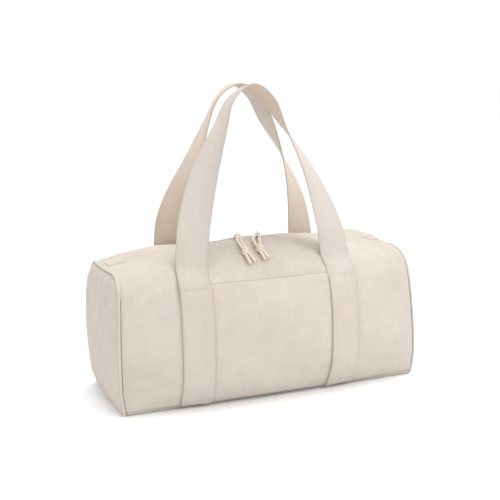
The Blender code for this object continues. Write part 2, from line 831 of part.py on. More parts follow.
def strap_stations(centre, width):
    return spread_between(centre - width / 2, centre + width / 2, 2)


def make_sewn_strap(name, centre, side):
    """Length of strap sewn to the body, from the base seam to just under the hinge."""
    room = STRAP_THICKNESS / 2 + HINGE_ROOM
    top = HINGE_HEIGHT - room
    stations = strap_stations(centre, STRAP_WIDTH)
    grid = surface_grid(stations, lambda x: turn_at_height(x, top), side)
    outward = -side
    lower = offset_grid(grid, lambda i, j: outward * LAYER_SEAT)
    upper = offset_grid(grid, lambda i, j: outward * (LAYER_SEAT + STRAP_THICKNESS))
    for i, x in enumerate(stations):
        lower[i][-1] = Vector((x, side * (hinge_depth(side) - STRAP_THICKNESS / 2), top))
        upper[i][-1] = Vector((x, side * (hinge_depth(side) + STRAP_THICKNESS / 2), top))
    solid_between(name, lower, upper, strap_material())


def leg_points(side, hand, shares, loop_rise):
    """Middle line of a leg, with the twist at each of its points."""
    shift = strap_shift(side)
    hinge_y = side * hinge_depth(side)
    top_y = side * (STRAP_WIDTH / 2 + LOOPS_APART / 2)
    places = []
    twists = []
    for rise_share, spread_share, lean_share, twist_share in shares:
        drift = shift + (LOOP_TOP_SHIFT - shift) * rise_share
        x = drift + hand * STRAP_SPREAD * spread_share
        y = hinge_y + (top_y - hinge_y) * lean_share
        places.append(Vector((x, y, HINGE_HEIGHT + loop_rise * rise_share)))
        twists.append(Vector((math.radians(TOP_TWIST) * twist_share, 0.0, 0.0)))
    return places, twists


def loop_line(side, left_leg, right_leg, loop_rise):
    """Smooth middle line of the loop and its twist, from the left hinge to the right one."""
    left_places, left_twists = leg_points(side, LEFT, left_leg, loop_rise)
    right_places, right_twists = leg_points(side, RIGHT, right_leg, loop_rise)
    line = smooth_path(left_places + right_places[::-1], LEG_STEPS)
    twist_line = [item.x for item in smooth_path(left_twists + right_twists[::-1], LEG_STEPS)]
    return line, twist_line


def ribbon_section(place, tangent, twist, half_thickness):
    """Four corners of the strap's section: it faces front at twist 0 and up at 90 degrees."""
    facing = Vector((0.0, -1.0, 0.0))
    facing = (facing - tangent * facing.dot(tangent)).normalized()
    inside = tangent.cross(facing)
    normal = facing * math.cos(twist) - inside * math.sin(twist)
    across = normal.cross(tangent) * (STRAP_WIDTH / 2)
    out = normal * half_thickness
    return (place + across + out, place - across + out, place - across - out, place + across - out)


def make_loop(name, line, twists, pivot):
    """Free loop of a carrying strap, with round ends on the hinge axis."""
    half = STRAP_THICKNESS / 2
    sections = []
    last = len(line) - 1
    level = Vector((0.0, 1.0, 1.0))
    start_way = ((line[1] - line[0]) * level).normalized()
    end_way = ((line[last] - line[last - 1]) * level).normalized()
    for step in range(1, END_FACETS):
        angle = math.pi / 2 * step / END_FACETS
        place = line[0] - start_way * (half * math.cos(angle))
        sections.append(ribbon_section(place, start_way, twists[0], half * math.sin(angle)))
    for index in range(last + 1):
        way = (line[min(index + 1, last)] - line[max(index - 1, 0)]).normalized()
        way = start_way if index == 0 else end_way if index == last else way
        sections.append(ribbon_section(line[index], way, twists[index], half))
    for step in range(END_FACETS - 1, 0, -1):
        angle = math.pi / 2 * step / END_FACETS
        place = line[last] + end_way * (half * math.cos(angle))
        sections.append(ribbon_section(place, end_way, twists[last], half * math.sin(angle)))
    builder = bmesh.new()
    rings = [[builder.verts.new(corner) for corner in section] for section in sections]
    for ring, following in zip(rings, rings[1:]):
        for corner in range(4):
            after = (corner + 1) % 4
            builder.faces.new((ring[corner], ring[after], following[after], following[corner]))
    builder.faces.new(rings[0][::-1])
    builder.faces.new(rings[-1])
    loop = finish_object(name, builder, strap_material())
    hang_on(loop, pivot)


def make_strap_stitching(name, centre, side):
    """Row of stitching across the top of a sewn strap."""
    low = HINGE_HEIGHT - STITCH_DROP
    stations = strap_stations(centre, STITCH_ROW_LENGTH)
    heights = (low, low + STITCH_ROW_WIDTH)
    grid = [[strap_face_point(x, z, centre, side) for z in heights] for x in stations]
    layer(name, grid, -side, GAP, GAP + STITCH_ROW_HEIGHT, thread_material())


def strap_face_point(x, z, centre, side):
    """A point of the sewn strap's outer face, read between the rows that the strap is made of."""
    top = HINGE_HEIGHT - STRAP_THICKNESS / 2 - HINGE_ROOM
    stations = strap_stations(centre, STRAP_WIDTH)
    grid = surface_grid(stations, lambda place: turn_at_height(place, top), side)
    outward = -side
    face = offset_grid(grid, lambda i, j: outward * (LAYER_SEAT + STRAP_THICKNESS))
    share = (x - stations[0]) / STRAP_WIDTH * (len(stations) - 1)
    index = min(int(share), len(stations) - 2)
    depths = []
    for column in (index, index + 1):
        row = face[column]
        row[-1] = Vector((stations[column], side * (hinge_depth(side) + STRAP_THICKNESS / 2), top))
        for low, high in zip(row, row[1:]):
            if low.z <= z <= high.z:
                part = (z - low.z) / (high.z - low.z)
                depths.append(low.y + (high.y - low.y) * part)
                break
    part = share - index
    return Vector((x, depths[0] + (depths[1] - depths[0]) * part, z))


def make_pocket():
    """Slip pocket between the front straps: slack towards its hemmed mouth."""
    left, right = strap_centres(FRONT_STRAP_SHIFT)
    start = left + STRAP_WIDTH / 2 + POCKET_SIDE_ROOM
    stop = right - STRAP_WIDTH / 2 - POCKET_SIDE_ROOM
    stations = [start + (stop - start) * share for share in POCKET_SIDE_SHARES]
    fold = POCKET_TOP - POCKET_HEM
    grid = surface_grid(stations, lambda x: turn_at_height(x, fold - HEM_FOLD_STEP), FRONT)
    for x, row in zip(stations, grid):
        for z in (fold, fold + POCKET_HEM / 2, POCKET_TOP):
            row.append(body_point(x, turn_at_height(x, z), FRONT))
    hem_rows = 3
    rows = len(grid[0])

    def slack(i, j):
        across = POCKET_SIDE_SHARES[i]
        fullness = math.sqrt(max(0.0, 1.0 - (2.0 * across - 1.0) ** 2))
        height = max(0.0, (grid[i][j].z - BASE_CORNER) / (POCKET_TOP - BASE_CORNER))
        return LAYER_SEAT + POCKET_GAPE * fullness * height**1.5

    def outer(i, j):
        layers = 2 if j >= rows - hem_rows else 1
        return slack(i, j) + layers * CANVAS

    lower = offset_grid(grid, slack)
    upper = offset_grid(grid, outer)
    solid_between("front_pocket", lower, upper, canvas_material())


def build_body():
    make_base_panel()
    make_body_panel("front_panel", FRONT)
    make_body_panel("back_panel", BACK)
    for word, side in (("left", LEFT), ("right", RIGHT)):
        make_end_panel(word + "_end_panel", side)
        make_end_piping(word + "_end_piping", side)
        make_end_binding(word + "_end_binding", side)
    make_base_binding("front_base_binding", FRONT)
    make_base_binding("back_base_binding", BACK)
    make_pocket()


def build_zip():
    for word, side in (("front", FRONT), ("back", BACK)):
        make_zip_tape(word + "_zip_tape", side)
        make_zip_coil(word + "_zip_coil", side)
    arc_centre = Vector((0.0, 0.0, MID_HEIGHT - CROWN_RADIUS))
    pulls = (("left", LEFT, LEFT_SLIDER_X, LEFT_PULL_LEAN), ("right", RIGHT, RIGHT_SLIDER_X, RIGHT_PULL_LEAN))
    for word, side, x, lean in pulls:
        make_zip_tab(word + "_zip_tab", side)
        make_slider(word + "_slider", x, hinge_empty(word + "_slider_arc_centre", arc_centre))
        bar = crown_matrix(x) @ Vector((0.0, 0.0, bar_height()))
        make_pull(word + "_pull", x, lean, hinge_empty(word + "_pull_hinge", bar))


def build_straps():
    loops = (
        ("front", FRONT, FRONT_LEFT_LEG, FRONT_RIGHT_LEG, FRONT_LOOP_RISE),
        ("back", BACK, BACK_LEFT_LEG, BACK_RIGHT_LEG, BACK_LOOP_RISE),
    )
    for word, side, left_leg, right_leg, loop_rise in loops:
        for hand, centre in zip(("_left", "_right"), strap_centres(strap_shift(side))):
            make_sewn_strap(word + hand + "_strap", centre, side)
            make_strap_stitching(word + hand + "_strap_stitching", centre, side)
        hinge = Vector((strap_shift(side), side * hinge_depth(side), HINGE_HEIGHT))
        line, twists = loop_line(side, left_leg, right_leg, loop_rise)
        make_loop(word + "_handle", line, twists, hinge_empty(word + "_handle_hinge", hinge))


remove_all_objects()
build_body()
build_zip()
build_straps()
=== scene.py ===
"""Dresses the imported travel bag: its canvas shell, piping, straps, zip and cord pulls."""

import math

import bmesh
import bpy
from mathutils import Matrix, Vector, noise


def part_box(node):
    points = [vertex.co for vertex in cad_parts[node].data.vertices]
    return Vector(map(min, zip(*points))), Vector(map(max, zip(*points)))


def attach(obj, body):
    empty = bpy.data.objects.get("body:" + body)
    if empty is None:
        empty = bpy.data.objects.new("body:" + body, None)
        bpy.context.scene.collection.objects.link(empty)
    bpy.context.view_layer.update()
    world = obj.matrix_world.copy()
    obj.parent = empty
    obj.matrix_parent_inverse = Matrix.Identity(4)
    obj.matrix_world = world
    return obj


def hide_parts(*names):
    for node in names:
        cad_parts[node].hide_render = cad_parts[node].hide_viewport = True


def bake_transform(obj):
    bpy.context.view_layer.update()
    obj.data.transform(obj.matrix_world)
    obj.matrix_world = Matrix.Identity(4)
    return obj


bl_info = {
    "name": "Canvas travel bag",
    "version": (1, 0, 0),
    "blender": (4, 5, 0),
    "location": "3D View > Sidebar > Bag",
    "description": "Builds the cloth, cord and metal of a canvas travel bag",
    "category": "Object",
}

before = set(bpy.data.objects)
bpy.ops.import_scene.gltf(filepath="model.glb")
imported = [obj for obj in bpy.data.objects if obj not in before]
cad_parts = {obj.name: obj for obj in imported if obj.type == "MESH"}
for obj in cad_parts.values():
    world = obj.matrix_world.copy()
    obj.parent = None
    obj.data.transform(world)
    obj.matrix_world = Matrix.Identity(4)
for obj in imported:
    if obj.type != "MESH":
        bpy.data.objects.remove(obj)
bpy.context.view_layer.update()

# Shape of the sewn body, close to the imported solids
END_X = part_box("front_panel")[1][0]
DEPTH = 0.244
BELLY = 0.0315
MID_HEIGHT = 0.2395
CROWN_DROP = 0.0245
WAIST_HEIGHT = 0.070
BASE_CORNER = 0.006
END_SQUARENESS = 5.0
MID_SQUARENESS = 2.7
BELLY_FULLNESS = 0.7
END_BULGE = 0.0135
PILLOW_CENTRE_SHARE = 0.46
SEAM_DRAW = 0.0055
DRAW_LENGTH = 0.080
DRAW_WAIST = 0.090
DRAW_FOOT = 0.060
DRAW_BESIDE_ZIP = 0.022
DRAW_FULL_DEPTH = 0.060
SETTLE_LENGTH = 0.11
PANEL_GIRTH = 0.335
LOWER_TURN_SHARE = 0.30

# Zip, with the tabs over its ends and the places of its sliders
ZIP_HALF_MOUTH = 0.0010
ZIP_HALF_LENGTH = 0.222
TAPE_HALF_WIDTH = 0.016
TAPE_THICKNESS = 0.0007
MOUTH_STITCH_INSET = 0.0098
TAB_INNER_END = 0.2158
TAB_OUTER_END = 0.244
TAB_HALF_WIDTH = 0.013
TAB_THICKNESS = 0.0010
TAB_STITCH_INSET = 0.0025
LEFT_SLIDER_X = -0.025
RIGHT_SLIDER_X = 0.010

# Creases of an end panel: place across, width and depth
END_CREASES = (
    (-0.056, 0.007, 1.0),
    (-0.031, 0.006, 0.8),
    (-0.004, 0.008, 0.9),
    (0.026, 0.007, 0.7),
    (0.054, 0.008, 0.9),
)

# Small rooms between neighbouring pieces
GAP = 0.0003
LAYER_GAP = 0.0002
THREAD_LIFT = 0.0001
PIPING_PROUD = 0.0008

# Straps and their loops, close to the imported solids
STRAP_SPREAD = 0.124
FRONT_STRAP_SHIFT = -0.012
BACK_STRAP_SHIFT = 0.006
HINGE_HEIGHT = 0.200
FRONT_HINGE_DEPTH = 0.09545
BACK_HINGE_DEPTH = 0.09525
FRONT_LOOP_RISE = 0.285
BACK_LOOP_RISE = 0.287
LOOP_TOP_SHIFT = -0.0145
LOOPS_APART = 0.0006
TOP_TWIST = 93.0
# Heights along a leg of a loop, and each leg's spread, lean inward and twist there, as shares
LEG_RISES = (0.00, 0.25, 0.53, 0.78, 0.93, 1.00)
FRONT_LEFT_LEG = (
    (1.00, 0.925, 0.715, 0.445, 0.27, 0.00),
    (0.00, 0.31, 0.61, 0.83, 0.94, 1.00),
    (0.00, 0.25, 0.57, 0.93, 1.06, 1.08),
)
FRONT_RIGHT_LEG = (
    (1.00, 0.92, 0.735, 0.44, 0.25),
    (0.00, 0.31, 0.61, 0.83, 0.94),
    (0.00, 0.17, 0.52, 0.83, 1.02),
)
BACK_LEFT_LEG = (
    (1.00, 0.91, 0.665, 0.445, 0.265, 0.00),
    (0.00, 0.40, 0.72, 0.90, 0.96, 1.00),
    (0.00, 0.25, 0.74, 1.08, 1.12, 1.00),
)
BACK_RIGHT_LEG = (
    (1.00, 0.92, 0.695, 0.43, 0.26),
    (0.00, 0.40, 0.72, 0.90, 0.96),
    (0.00, 0.25, 0.67, 1.00, 1.03),
)

# Lie of each cord pull on the cloth: X, Y and half the distance between its strands
LEFT_PULL_LAY = (
    (-0.0278, -0.0105, 0.0021),
    (-0.0323, -0.0250, 0.0027),
    (-0.0368, -0.0460, 0.0026),
    (-0.0386, -0.0630, 0.0023),
    (-0.0376, -0.0735, 0.0033),
    (-0.0351, -0.0825, 0.0042),
)
RIGHT_PULL_LAY = (
    (0.0060, -0.0105, 0.0030),
    (-0.0035, -0.0270, 0.0052),
    (-0.0100, -0.0450, 0.0042),
    (-0.0134, -0.0610, 0.0023),
    (-0.0118, -0.0715, 0.0028),
    (-0.0100, -0.0795, 0.0035),
)
KNOT_STEP = 3
KNOT_TURNS = 2.15
PINCH_AT_BAR = 0.66
KNOT_HALF_HEIGHT = 0.0046
BAIL_WIRE_RADIUS = 0.0009
BAR_HEIGHT = 0.0064
BAIL_HALF_SPAN = 0.0047
BAIL_CORNER = 0.0016
PLATE_TOP = 0.0015

# Pocket
POCKET_TOP = 0.192
POCKET_TUCK = 0.010
POCKET_TALL = 0.225
EDGE_STITCH_INSET = 0.0018
HEM_STITCH_INSET = 0.0016

# Camera fitted to the photograph
CAMERA_AZIMUTH = -0.408
CAMERA_ELEVATION = 0.1957
CAMERA_ROLL = -0.0057
CAMERA_DISTANCE = 1.6347
CAMERA_TARGET = (-0.0026, 0.0, 0.2189)
CAMERA_LENS = 72.0
CAMERA_SENSOR = 36.0
FLOOR_RADIUS = 14.0

FRONT = -1
BACK = 1
LEFT = -1
RIGHT = 1

CROWN_RADIUS = (END_X**2 + CROWN_DROP**2) / (2 * CROWN_DROP)
END_HEIGHT = MID_HEIGHT - CROWN_DROP
HALF_DEPTH = DEPTH / 2 - BELLY


def length_of(name, description, default):
    """A length that the sidebar shows."""
    return bpy.props.FloatProperty(
        name=name, description=description, default=default, unit="LENGTH"
    )


def colour_of(name, description, default):
    """A colour that the sidebar shows."""
    return bpy.props.FloatVectorProperty(
        name=name, description=description, default=default, subtype="COLOR"
    )


class BagSizes(bpy.types.PropertyGroup):
    """Sizes of the cloth, the thread and the fine parts."""

    canvas: length_of("Canvas", "Thickness of the canvas", 0.0012)
    seat: length_of("Seat", "Room between two layers of cloth", 0.0006)
    strap_width: length_of("Strap width", "Width of the webbing", 0.050)
    strap_thickness: length_of("Strap thickness", "Thickness of the webbing", 0.0020)
    piping: length_of("Piping", "Radius of the covered cord", 0.0020)
    cord: length_of("Cord", "Radius of the pull cord", 0.0025)
    stitch_pitch: length_of("Stitch pitch", "Length of one stitch with its gap", 0.0034)
    stitch_radius: length_of("Thread radius", "Radius of the sewing thread", 0.00032)
    hem: length_of("Pocket hem", "Depth of the pocket's turned hem", 0.011)
    coil_pitch: length_of("Coil pitch", "Distance between the zip's teeth", 0.0017)
    weave: length_of("Weave", "Distance between the canvas threads", 0.00095)


class BagColours(bpy.types.PropertyGroup):
    """Colours of the cloth, cord and metal."""

    canvas: colour_of("Canvas", "Natural cotton canvas", (0.698, 0.632, 0.572))
    strap: colour_of("Webbing", "Cotton webbing", (0.650, 0.588, 0.540))
    cord: colour_of("Cord", "Cotton cord", (0.80, 0.725, 0.60))
    tape: colour_of("Tape", "Zip tape and seam binding", (0.66, 0.58, 0.49))
    coil: colour_of("Coil", "Zip teeth", (0.58, 0.51, 0.41))
    metal: colour_of("Metal", "Aged slider metal", (0.33, 0.27, 0.17))
    thread: colour_of("Thread", "Sewing thread", (0.78, 0.72, 0.65))
    floor: colour_of("Floor", "Pale studio floor", (0.998, 0.998, 0.998))


def sizes():
    return bpy.context.scene.bag_sizes


def colours():
    return bpy.context.scene.bag_colours


# Shape of the body


def clamped(value):
    return min(max(value, 0.0), 1.0)


def smooth(value):
    """Eased step from 0 to 1."""
    part = clamped(value)
    return part * part * (3 - 2 * part)


def near(distance, reach):
    """1 at a line, fading to 0 over a reach."""
    return math.exp(-((distance / reach) ** 2))


def swell(x):
    """1 at the middle of the bag, 0 at its ends."""
    return max(0.0, 1.0 - (x / END_X) ** 2)


def crown_height(x):
    """Height of the crown's arc."""
    return MID_HEIGHT - CROWN_RADIUS + math.sqrt(CROWN_RADIUS**2 - x * x)


def half_depth(x):
    """Greatest distance of the body from its middle plane."""
    return HALF_DEPTH + BELLY * swell(x) ** BELLY_FULLNESS


def squareness(x):
    """Power of the dome's curve, squarer towards the ends."""
    return END_SQUARENESS + (MID_SQUARENESS - END_SQUARENESS) * math.sqrt(swell(x))


def rise(x):
    """Height of the dome over the widest line of the body."""
    return crown_height(x) - WAIST_HEIGHT


def dome_depth(x, z):
    """Distance of the dome from the middle plane at a height."""
    power = squareness(x)
    share = max(0.0, 1.0 - ((z - WAIST_HEIGHT) / rise(x)) ** power)
    return half_depth(x) * share ** (1.0 / power)


def top_height(x, y):
    """Height of the dome at a distance from the middle plane."""
    power = squareness(x)
    share = max(0.0, 1.0 - (abs(y) / half_depth(x)) ** power)
    return WAIST_HEIGHT + rise(x) * share ** (1.0 / power)


def drawn_in(place):
    """A point of the body, moved in where its end seam is drawn in."""
    reach = clamped((abs(place.x) - END_X + DRAW_LENGTH) / DRAW_LENGTH)
    above = clamped((place.z - DRAW_WAIST) / (END_HEIGHT - DRAW_WAIST))
    below = max((DRAW_FOOT - place.z) / DRAW_FOOT, 0.0)
    beside = smooth((abs(place.y) - DRAW_BESIDE_ZIP) / (DRAW_FULL_DEPTH - DRAW_BESIDE_ZIP))
    share = reach**2 * max(above**2 * beside, below**2)
    return place - Vector((math.copysign(SEAM_DRAW * share, place.x), 0.0, 0.0))


def settled(place):
    """A point of the body, moved as the loaded cloth has settled at the two ends."""
    near_end = clamped((abs(place.x) - END_X + SETTLE_LENGTH) / SETTLE_LENGTH) ** 2
    foot = max(0.0, 1.0 - place.z / 0.02) ** 2
    if place.x > 0.0:
        # The right end bellies out low down, and its top seam dips at the zip and rises behind it
        share = clamped((place.z - 0.03) / 0.16)
        shift = 0.0020 + 0.0046 * math.cos(math.pi * share) - 0.003 * foot
        uneven = 0.0008 + 0.0014 * near(place.y, 0.025) - 0.0060 * near(place.y - 0.052, 0.023)
        sink = uneven * smooth((place.x - 0.222) / 0.018) * smooth((place.z - 0.13) / 0.07)
    else:
        # The left end's back foot is tucked in
        shift = 0.009 * smooth(place.y / 0.09) * max(0.0, 1.0 - place.z / 0.10)
        sink = 0.0
    return place + Vector((shift * near_end, 0.0, -sink))


def body_point(x, turn, side):
    """A point of the outer surface, from the base seam at turn 0 to the crown at turn 1."""
    if turn <= LOWER_TURN_SHARE:
        z = BASE_CORNER + (WAIST_HEIGHT - BASE_CORNER) * turn / LOWER_TURN_SHARE
        share = 1.0 - (1.0 - z / WAIST_HEIGHT) ** 2
        depth = HALF_DEPTH + (half_depth(x) - HALF_DEPTH) * share
        return Vector((x, side * depth, z))
    angle = math.pi / 2 * (turn - LOWER_TURN_SHARE) / (1.0 - LOWER_TURN_SHARE)
    power = squareness(x)
    across = (math.cos(angle) / half_depth(x)) ** power
    upward = (math.sin(angle) / rise(x)) ** power
    reach = (across + upward) ** (-1.0 / power)
    return Vector((x, side * reach * math.cos(angle), WAIST_HEIGHT + reach * math.sin(angle)))


def turn_of(y, z):
    """Turn at which the dome passes nearest to a place."""
    angle = math.atan2(z - WAIST_HEIGHT, abs(y))
    return LOWER_TURN_SHARE + (1.0 - LOWER_TURN_SHARE) * angle / (math.pi / 2)


def half_mouth(x):
    """Half the width of the zip's slit, a little wider where it parts beside the first slider."""
    return ZIP_HALF_MOUTH + 0.0018 * near(x - LEFT_SLIDER_X + 0.010, 0.008)


def mouth_turn(x):
    return turn_of(half_mouth(x), top_height(x, half_mouth(x)))


def turn_at_height(x, z):
    return turn_of(dome_depth(x, z), z)


def body_normal(x, turn, side):
    """Outward direction of the smooth body surface."""
    step = 0.002
    low_x = max(x - step, -END_X)
    high_x = min(x + step, END_X)
    along = body_point(high_x, turn, side) - body_point(low_x, turn, side)
    low = max(turn - step, 0.0)
    high = min(turn + step, 1.0)
    across = body_point(x, high, side) - body_point(x, low, side)
    return along.cross(across).normalized() * -side


def wobble(x, y, scale, seed):
    """Smooth noise from -1 to 1 over the cloth, at so many waves to the metre."""
    return noise.noise(Vector((x * scale, y * scale, seed)))


def strap_shift(side):
    return FRONT_STRAP_SHIFT if side == FRONT else BACK_STRAP_SHIFT


def strap_centres(side):
    shift = strap_shift(side)
    return shift - STRAP_SPREAD, shift + STRAP_SPREAD


def hinge_depth(side):
    return side * (FRONT_HINGE_DEPTH if side == FRONT else BACK_HINGE_DEPTH)


def strap_edge_distance(x, side):
    """Distance outward from the nearest strap's edge, and less than zero under the strap."""
    half = sizes().strap_width / 2
    return min(abs(x - centre) for centre in strap_centres(side)) - half


def slack(x, turn, side):
    """How far the cloth stands out of the smooth shape, or sinks into it where that is negative."""
    girth = turn * PANEL_GIRTH
    seam = END_X - abs(x)
    fade = 1.0 - math.exp(-seam / 0.020)
    low_fade = 1.0 - math.exp(-girth / 0.012)
    mouth = max(0.0, mouth_turn(x) - turn) * PANEL_GIRTH
    seed = 3.7 * side
    soft = 0.0021 * wobble(x, girth, 8.0, seed) + 0.0010 * wobble(x, girth, 19.0, seed + 4.0)
    fine = 0.00028 * wobble(x, girth, 62.0, seed + 9.0)
    drape = 0.0010 * wobble(x, girth * 0.35, 26.0, seed + 13.0) * (1.0 - turn) * 1.4
    amount = (soft + drape) * fade * low_fade + fine * fade
    # Puckers that the end seam draws into the cloth
    phase = 5.0 * wobble(girth, x * 0.3, 18.0, seed + 2.0)
    pucker = math.sin(girth / 0.0165 * 2 * math.pi + phase)
    amount += 0.00075 * pucker * math.exp(-seam / 0.017) * (1.0 - math.exp(-seam / 0.003))
    # Puckers above the base seam
    phase = 5.0 * wobble(x, girth * 0.3, 14.0, seed + 6.0)
    pucker = math.sin(x / 0.019 * 2 * math.pi + phase)
    amount += 0.0005 * pucker * math.exp(-girth / 0.018) * low_fade
    # Seams pull the cloth in
    amount -= 0.0008 * near(seam, 0.0026) + 0.0010 * near(girth, 0.0022)
    # The cloth dips beside the sewn straps and lies flat under them
    edge = strap_edge_distance(x, side)
    strap_top = turn_at_height(x, HINGE_HEIGHT)
    along = 1.0 / (1.0 + math.exp((turn - strap_top) / 0.012))
    if edge > 0.0:
        amount -= 0.0005 * near(edge, 0.006) * along
    else:
        amount *= 1.0 - 0.6 * along
    # The loops draw the cloth up at the strap tops
    rest = (turn - strap_top) * PANEL_GIRTH
    beside = near(max(edge, 0.0), 0.016)
    amount *= 1.0 - 0.8 * near(rest - 0.014, 0.022) * beside
    amount += (0.0008 * near(rest, 0.012) + 0.0024 * near(rest - 0.031, 0.012)) * beside
    # Behind the zip the top has sunk at the left and stands full at the right
    if side == BACK:
        depth = body_point(x, turn, side).y
        over_top = near(depth - 0.040, 0.026) if turn > LOWER_TURN_SHARE else 0.0
        amount -= (0.0074 * near(x + 0.065, 0.046) + 0.0015 * near(x - 0.035, 0.030)) * over_top
        full = smooth((depth - 0.010) / 0.035) * smooth((turn - 0.45) / 0.25)
        amount += 0.0102 * near(x - 0.211, 0.032) * full * smooth(seam / 0.022)
        amount += 0.0018 * near(x + 0.170, 0.060) * full * smooth(seam / 0.022)
    # The zip's edge is turned under and lies flat beside the teeth
    amount *= 1.0 - near(mouth, 0.009)
    amount += 0.0002 - 0.0004 * near(mouth - MOUTH_STITCH_INSET, 0.0012)
    if side == FRONT:
        amount += 0.0003 * near(mouth, 0.003)
    return amount


def cloth_point(x, turn, side, lift=0.0):
    """A point above the slack cloth."""
    base = body_point(x, turn, side)
    return base + body_normal(x, turn, side) * (slack(x, turn, side) + lift)


# Making of meshes


def map_cloth(builder, flat_place):
    """Lays out the map of the cloth: flat_place gives a point's place on it, in metres."""
    cut = builder.loops.layers.uv["cloth"]
    for face in builder.faces:
        for corner in face.loops:
            corner[cut].uv = flat_place(corner.vert.co, corner[cut].uv)


def cloth_grid(columns, rows, place, width, height, wrap=False):
    """A grid bent into shape, with a map in metres of the cloth that it is cut from."""
    builder = bmesh.new()
    builder.loops.layers.uv.new("cloth")
    bmesh.ops.create_grid(builder, x_segments=columns, y_segments=rows, size=0.5)
    map_cloth(builder, lambda spot, _: ((spot.x + 0.5) * width, (spot.y + 0.5) * height))
    for vert in builder.verts:
        vert.co = place(vert.co.x + 0.5, vert.co.y + 0.5)
    if wrap:
        bmesh.ops.remove_doubles(builder, verts=builder.verts, dist=0.000001)
    return builder


def close_ends(builder):
    """Fills the open ends of a tube."""
    rim = [edge for edge in builder.edges if edge.is_boundary]
    bmesh.ops.holes_fill(builder, edges=rim, sides=0)


def placed(name, data):
    """A new object of the scene."""
    made = bpy.data.objects.new(name, data)
    bpy.context.scene.collection.objects.link(made)
    return made


def make_piece(name, builder, finish, body, outward=None):
    """Turns a mesh into a finished piece that moves with a body."""
    for vert in builder.verts:
        vert.co = settled(drawn_in(vert.co))
    if outward is None:
        bmesh.ops.recalc_face_normals(builder, faces=builder.faces)
    elif not outward(builder):
        bmesh.ops.reverse_faces(builder, faces=builder.faces)
    mesh = bpy.data.meshes.new(name)
    builder.to_mesh(mesh)
    builder.free()
    piece = placed(name, mesh)
    mesh.materials.append(finish_named(finish))
    mesh.shade_smooth()
    if body:
        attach(piece, body)
    return piece


def faces_away(builder):
    """Whether an open sheet's faces point away from the middle of the bag."""
    middle = Vector((0.0, 0.0, MID_HEIGHT / 2))
    return sum(
        face.normal.dot(face.calc_center_median() - middle) * face.calc_area()
        for face in builder.faces
    ) > 0.0


def open_sheet(name, builder, finish, thickness=None):
    """A sheet of cloth with real thickness, laid inward, in place of the solid of its name."""
    builder.normal_update()
    piece = make_piece(name, builder, finish, "bag_body", faces_away)
    wall = piece.modifiers.new("thickness", "SOLIDIFY")
    wall.thickness = thickness or sizes().canvas
    wall.offset = -1.0
    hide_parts(name)


def smooth_path(points, steps):
    """Points on a smooth curve through the given ones."""
    ends = [points[0] * 2 - points[1]] + list(points) + [points[-1] * 2 - points[-2]]
    path = []
    for index in range(1, len(ends) - 2):
        before, start, finish, after = ends[index - 1 : index + 3]
        for step in range(steps):
            t = step / steps
            pull = (finish - before) / 2
            lead = (after - start) / 2
            path.append(
                start * (2 * t**3 - 3 * t**2 + 1) + pull * (t**3 - 2 * t**2 + t)
                + finish * (3 * t**2 - 2 * t**3) + lead * (t**3 - t**2)
            )
    path.append(points[-1].copy())
    return path


def even_path(points, count, closed=False):
    """The same line as so many points, evenly apart."""
    line = list(points) + ([points[0]] if closed else [])
    travelled = [0.0]
    for start, finish in zip(line, line[1:]):
        travelled.append(travelled[-1] + (finish - start).length)
    spots = []
    index = 0
    total = count if closed else count - 1
    for step in range(count):
        goal = travelled[-1] * step / total
        while index < len(line) - 2 and travelled[index + 1] < goal:
            index += 1
        part = (goal - travelled[index]) / max(travelled[index + 1] - travelled[index], 1e-9)
        spots.append(line[index].lerp(line[index + 1], clamped(part)))
    return spots


def path_length(points):
    return sum((b - a).length for a, b in zip(points, points[1:]))


def carried_frames(path):
    """Direction and two cross directions at each point, without twist."""
    frames = []
    across = None
    for index in range(len(path)):
        way = path[min(index + 1, len(path) - 1)] - path[max(index - 1, 0)]
        way.normalize()
        if across is None:
            across = way.orthogonal().normalized()
        across = (across - way * across.dot(way)).normalized()
        frames.append((way, across, way.cross(across)))
    return frames


def tube(path, radius_at, sides):
    """A closed tube along a path; radius_at gives the radius by length and angle."""
    frames = carried_frames(path)
    reach = path_length(path)

    def place(u, v):
        index = round(v * (len(path) - 1))
        _, across, upward = frames[index]
        angle = 2 * math.pi * u
        radius = radius_at(v * reach, angle)
        return path[index] + (across * math.cos(angle) + upward * math.sin(angle)) * radius

    width = radius_at(0.0, 0.0) * 2 * math.pi
    builder = cloth_grid(sides, len(path) - 1, place, width, reach, True)
    close_ends(builder)
    return builder


# Materials


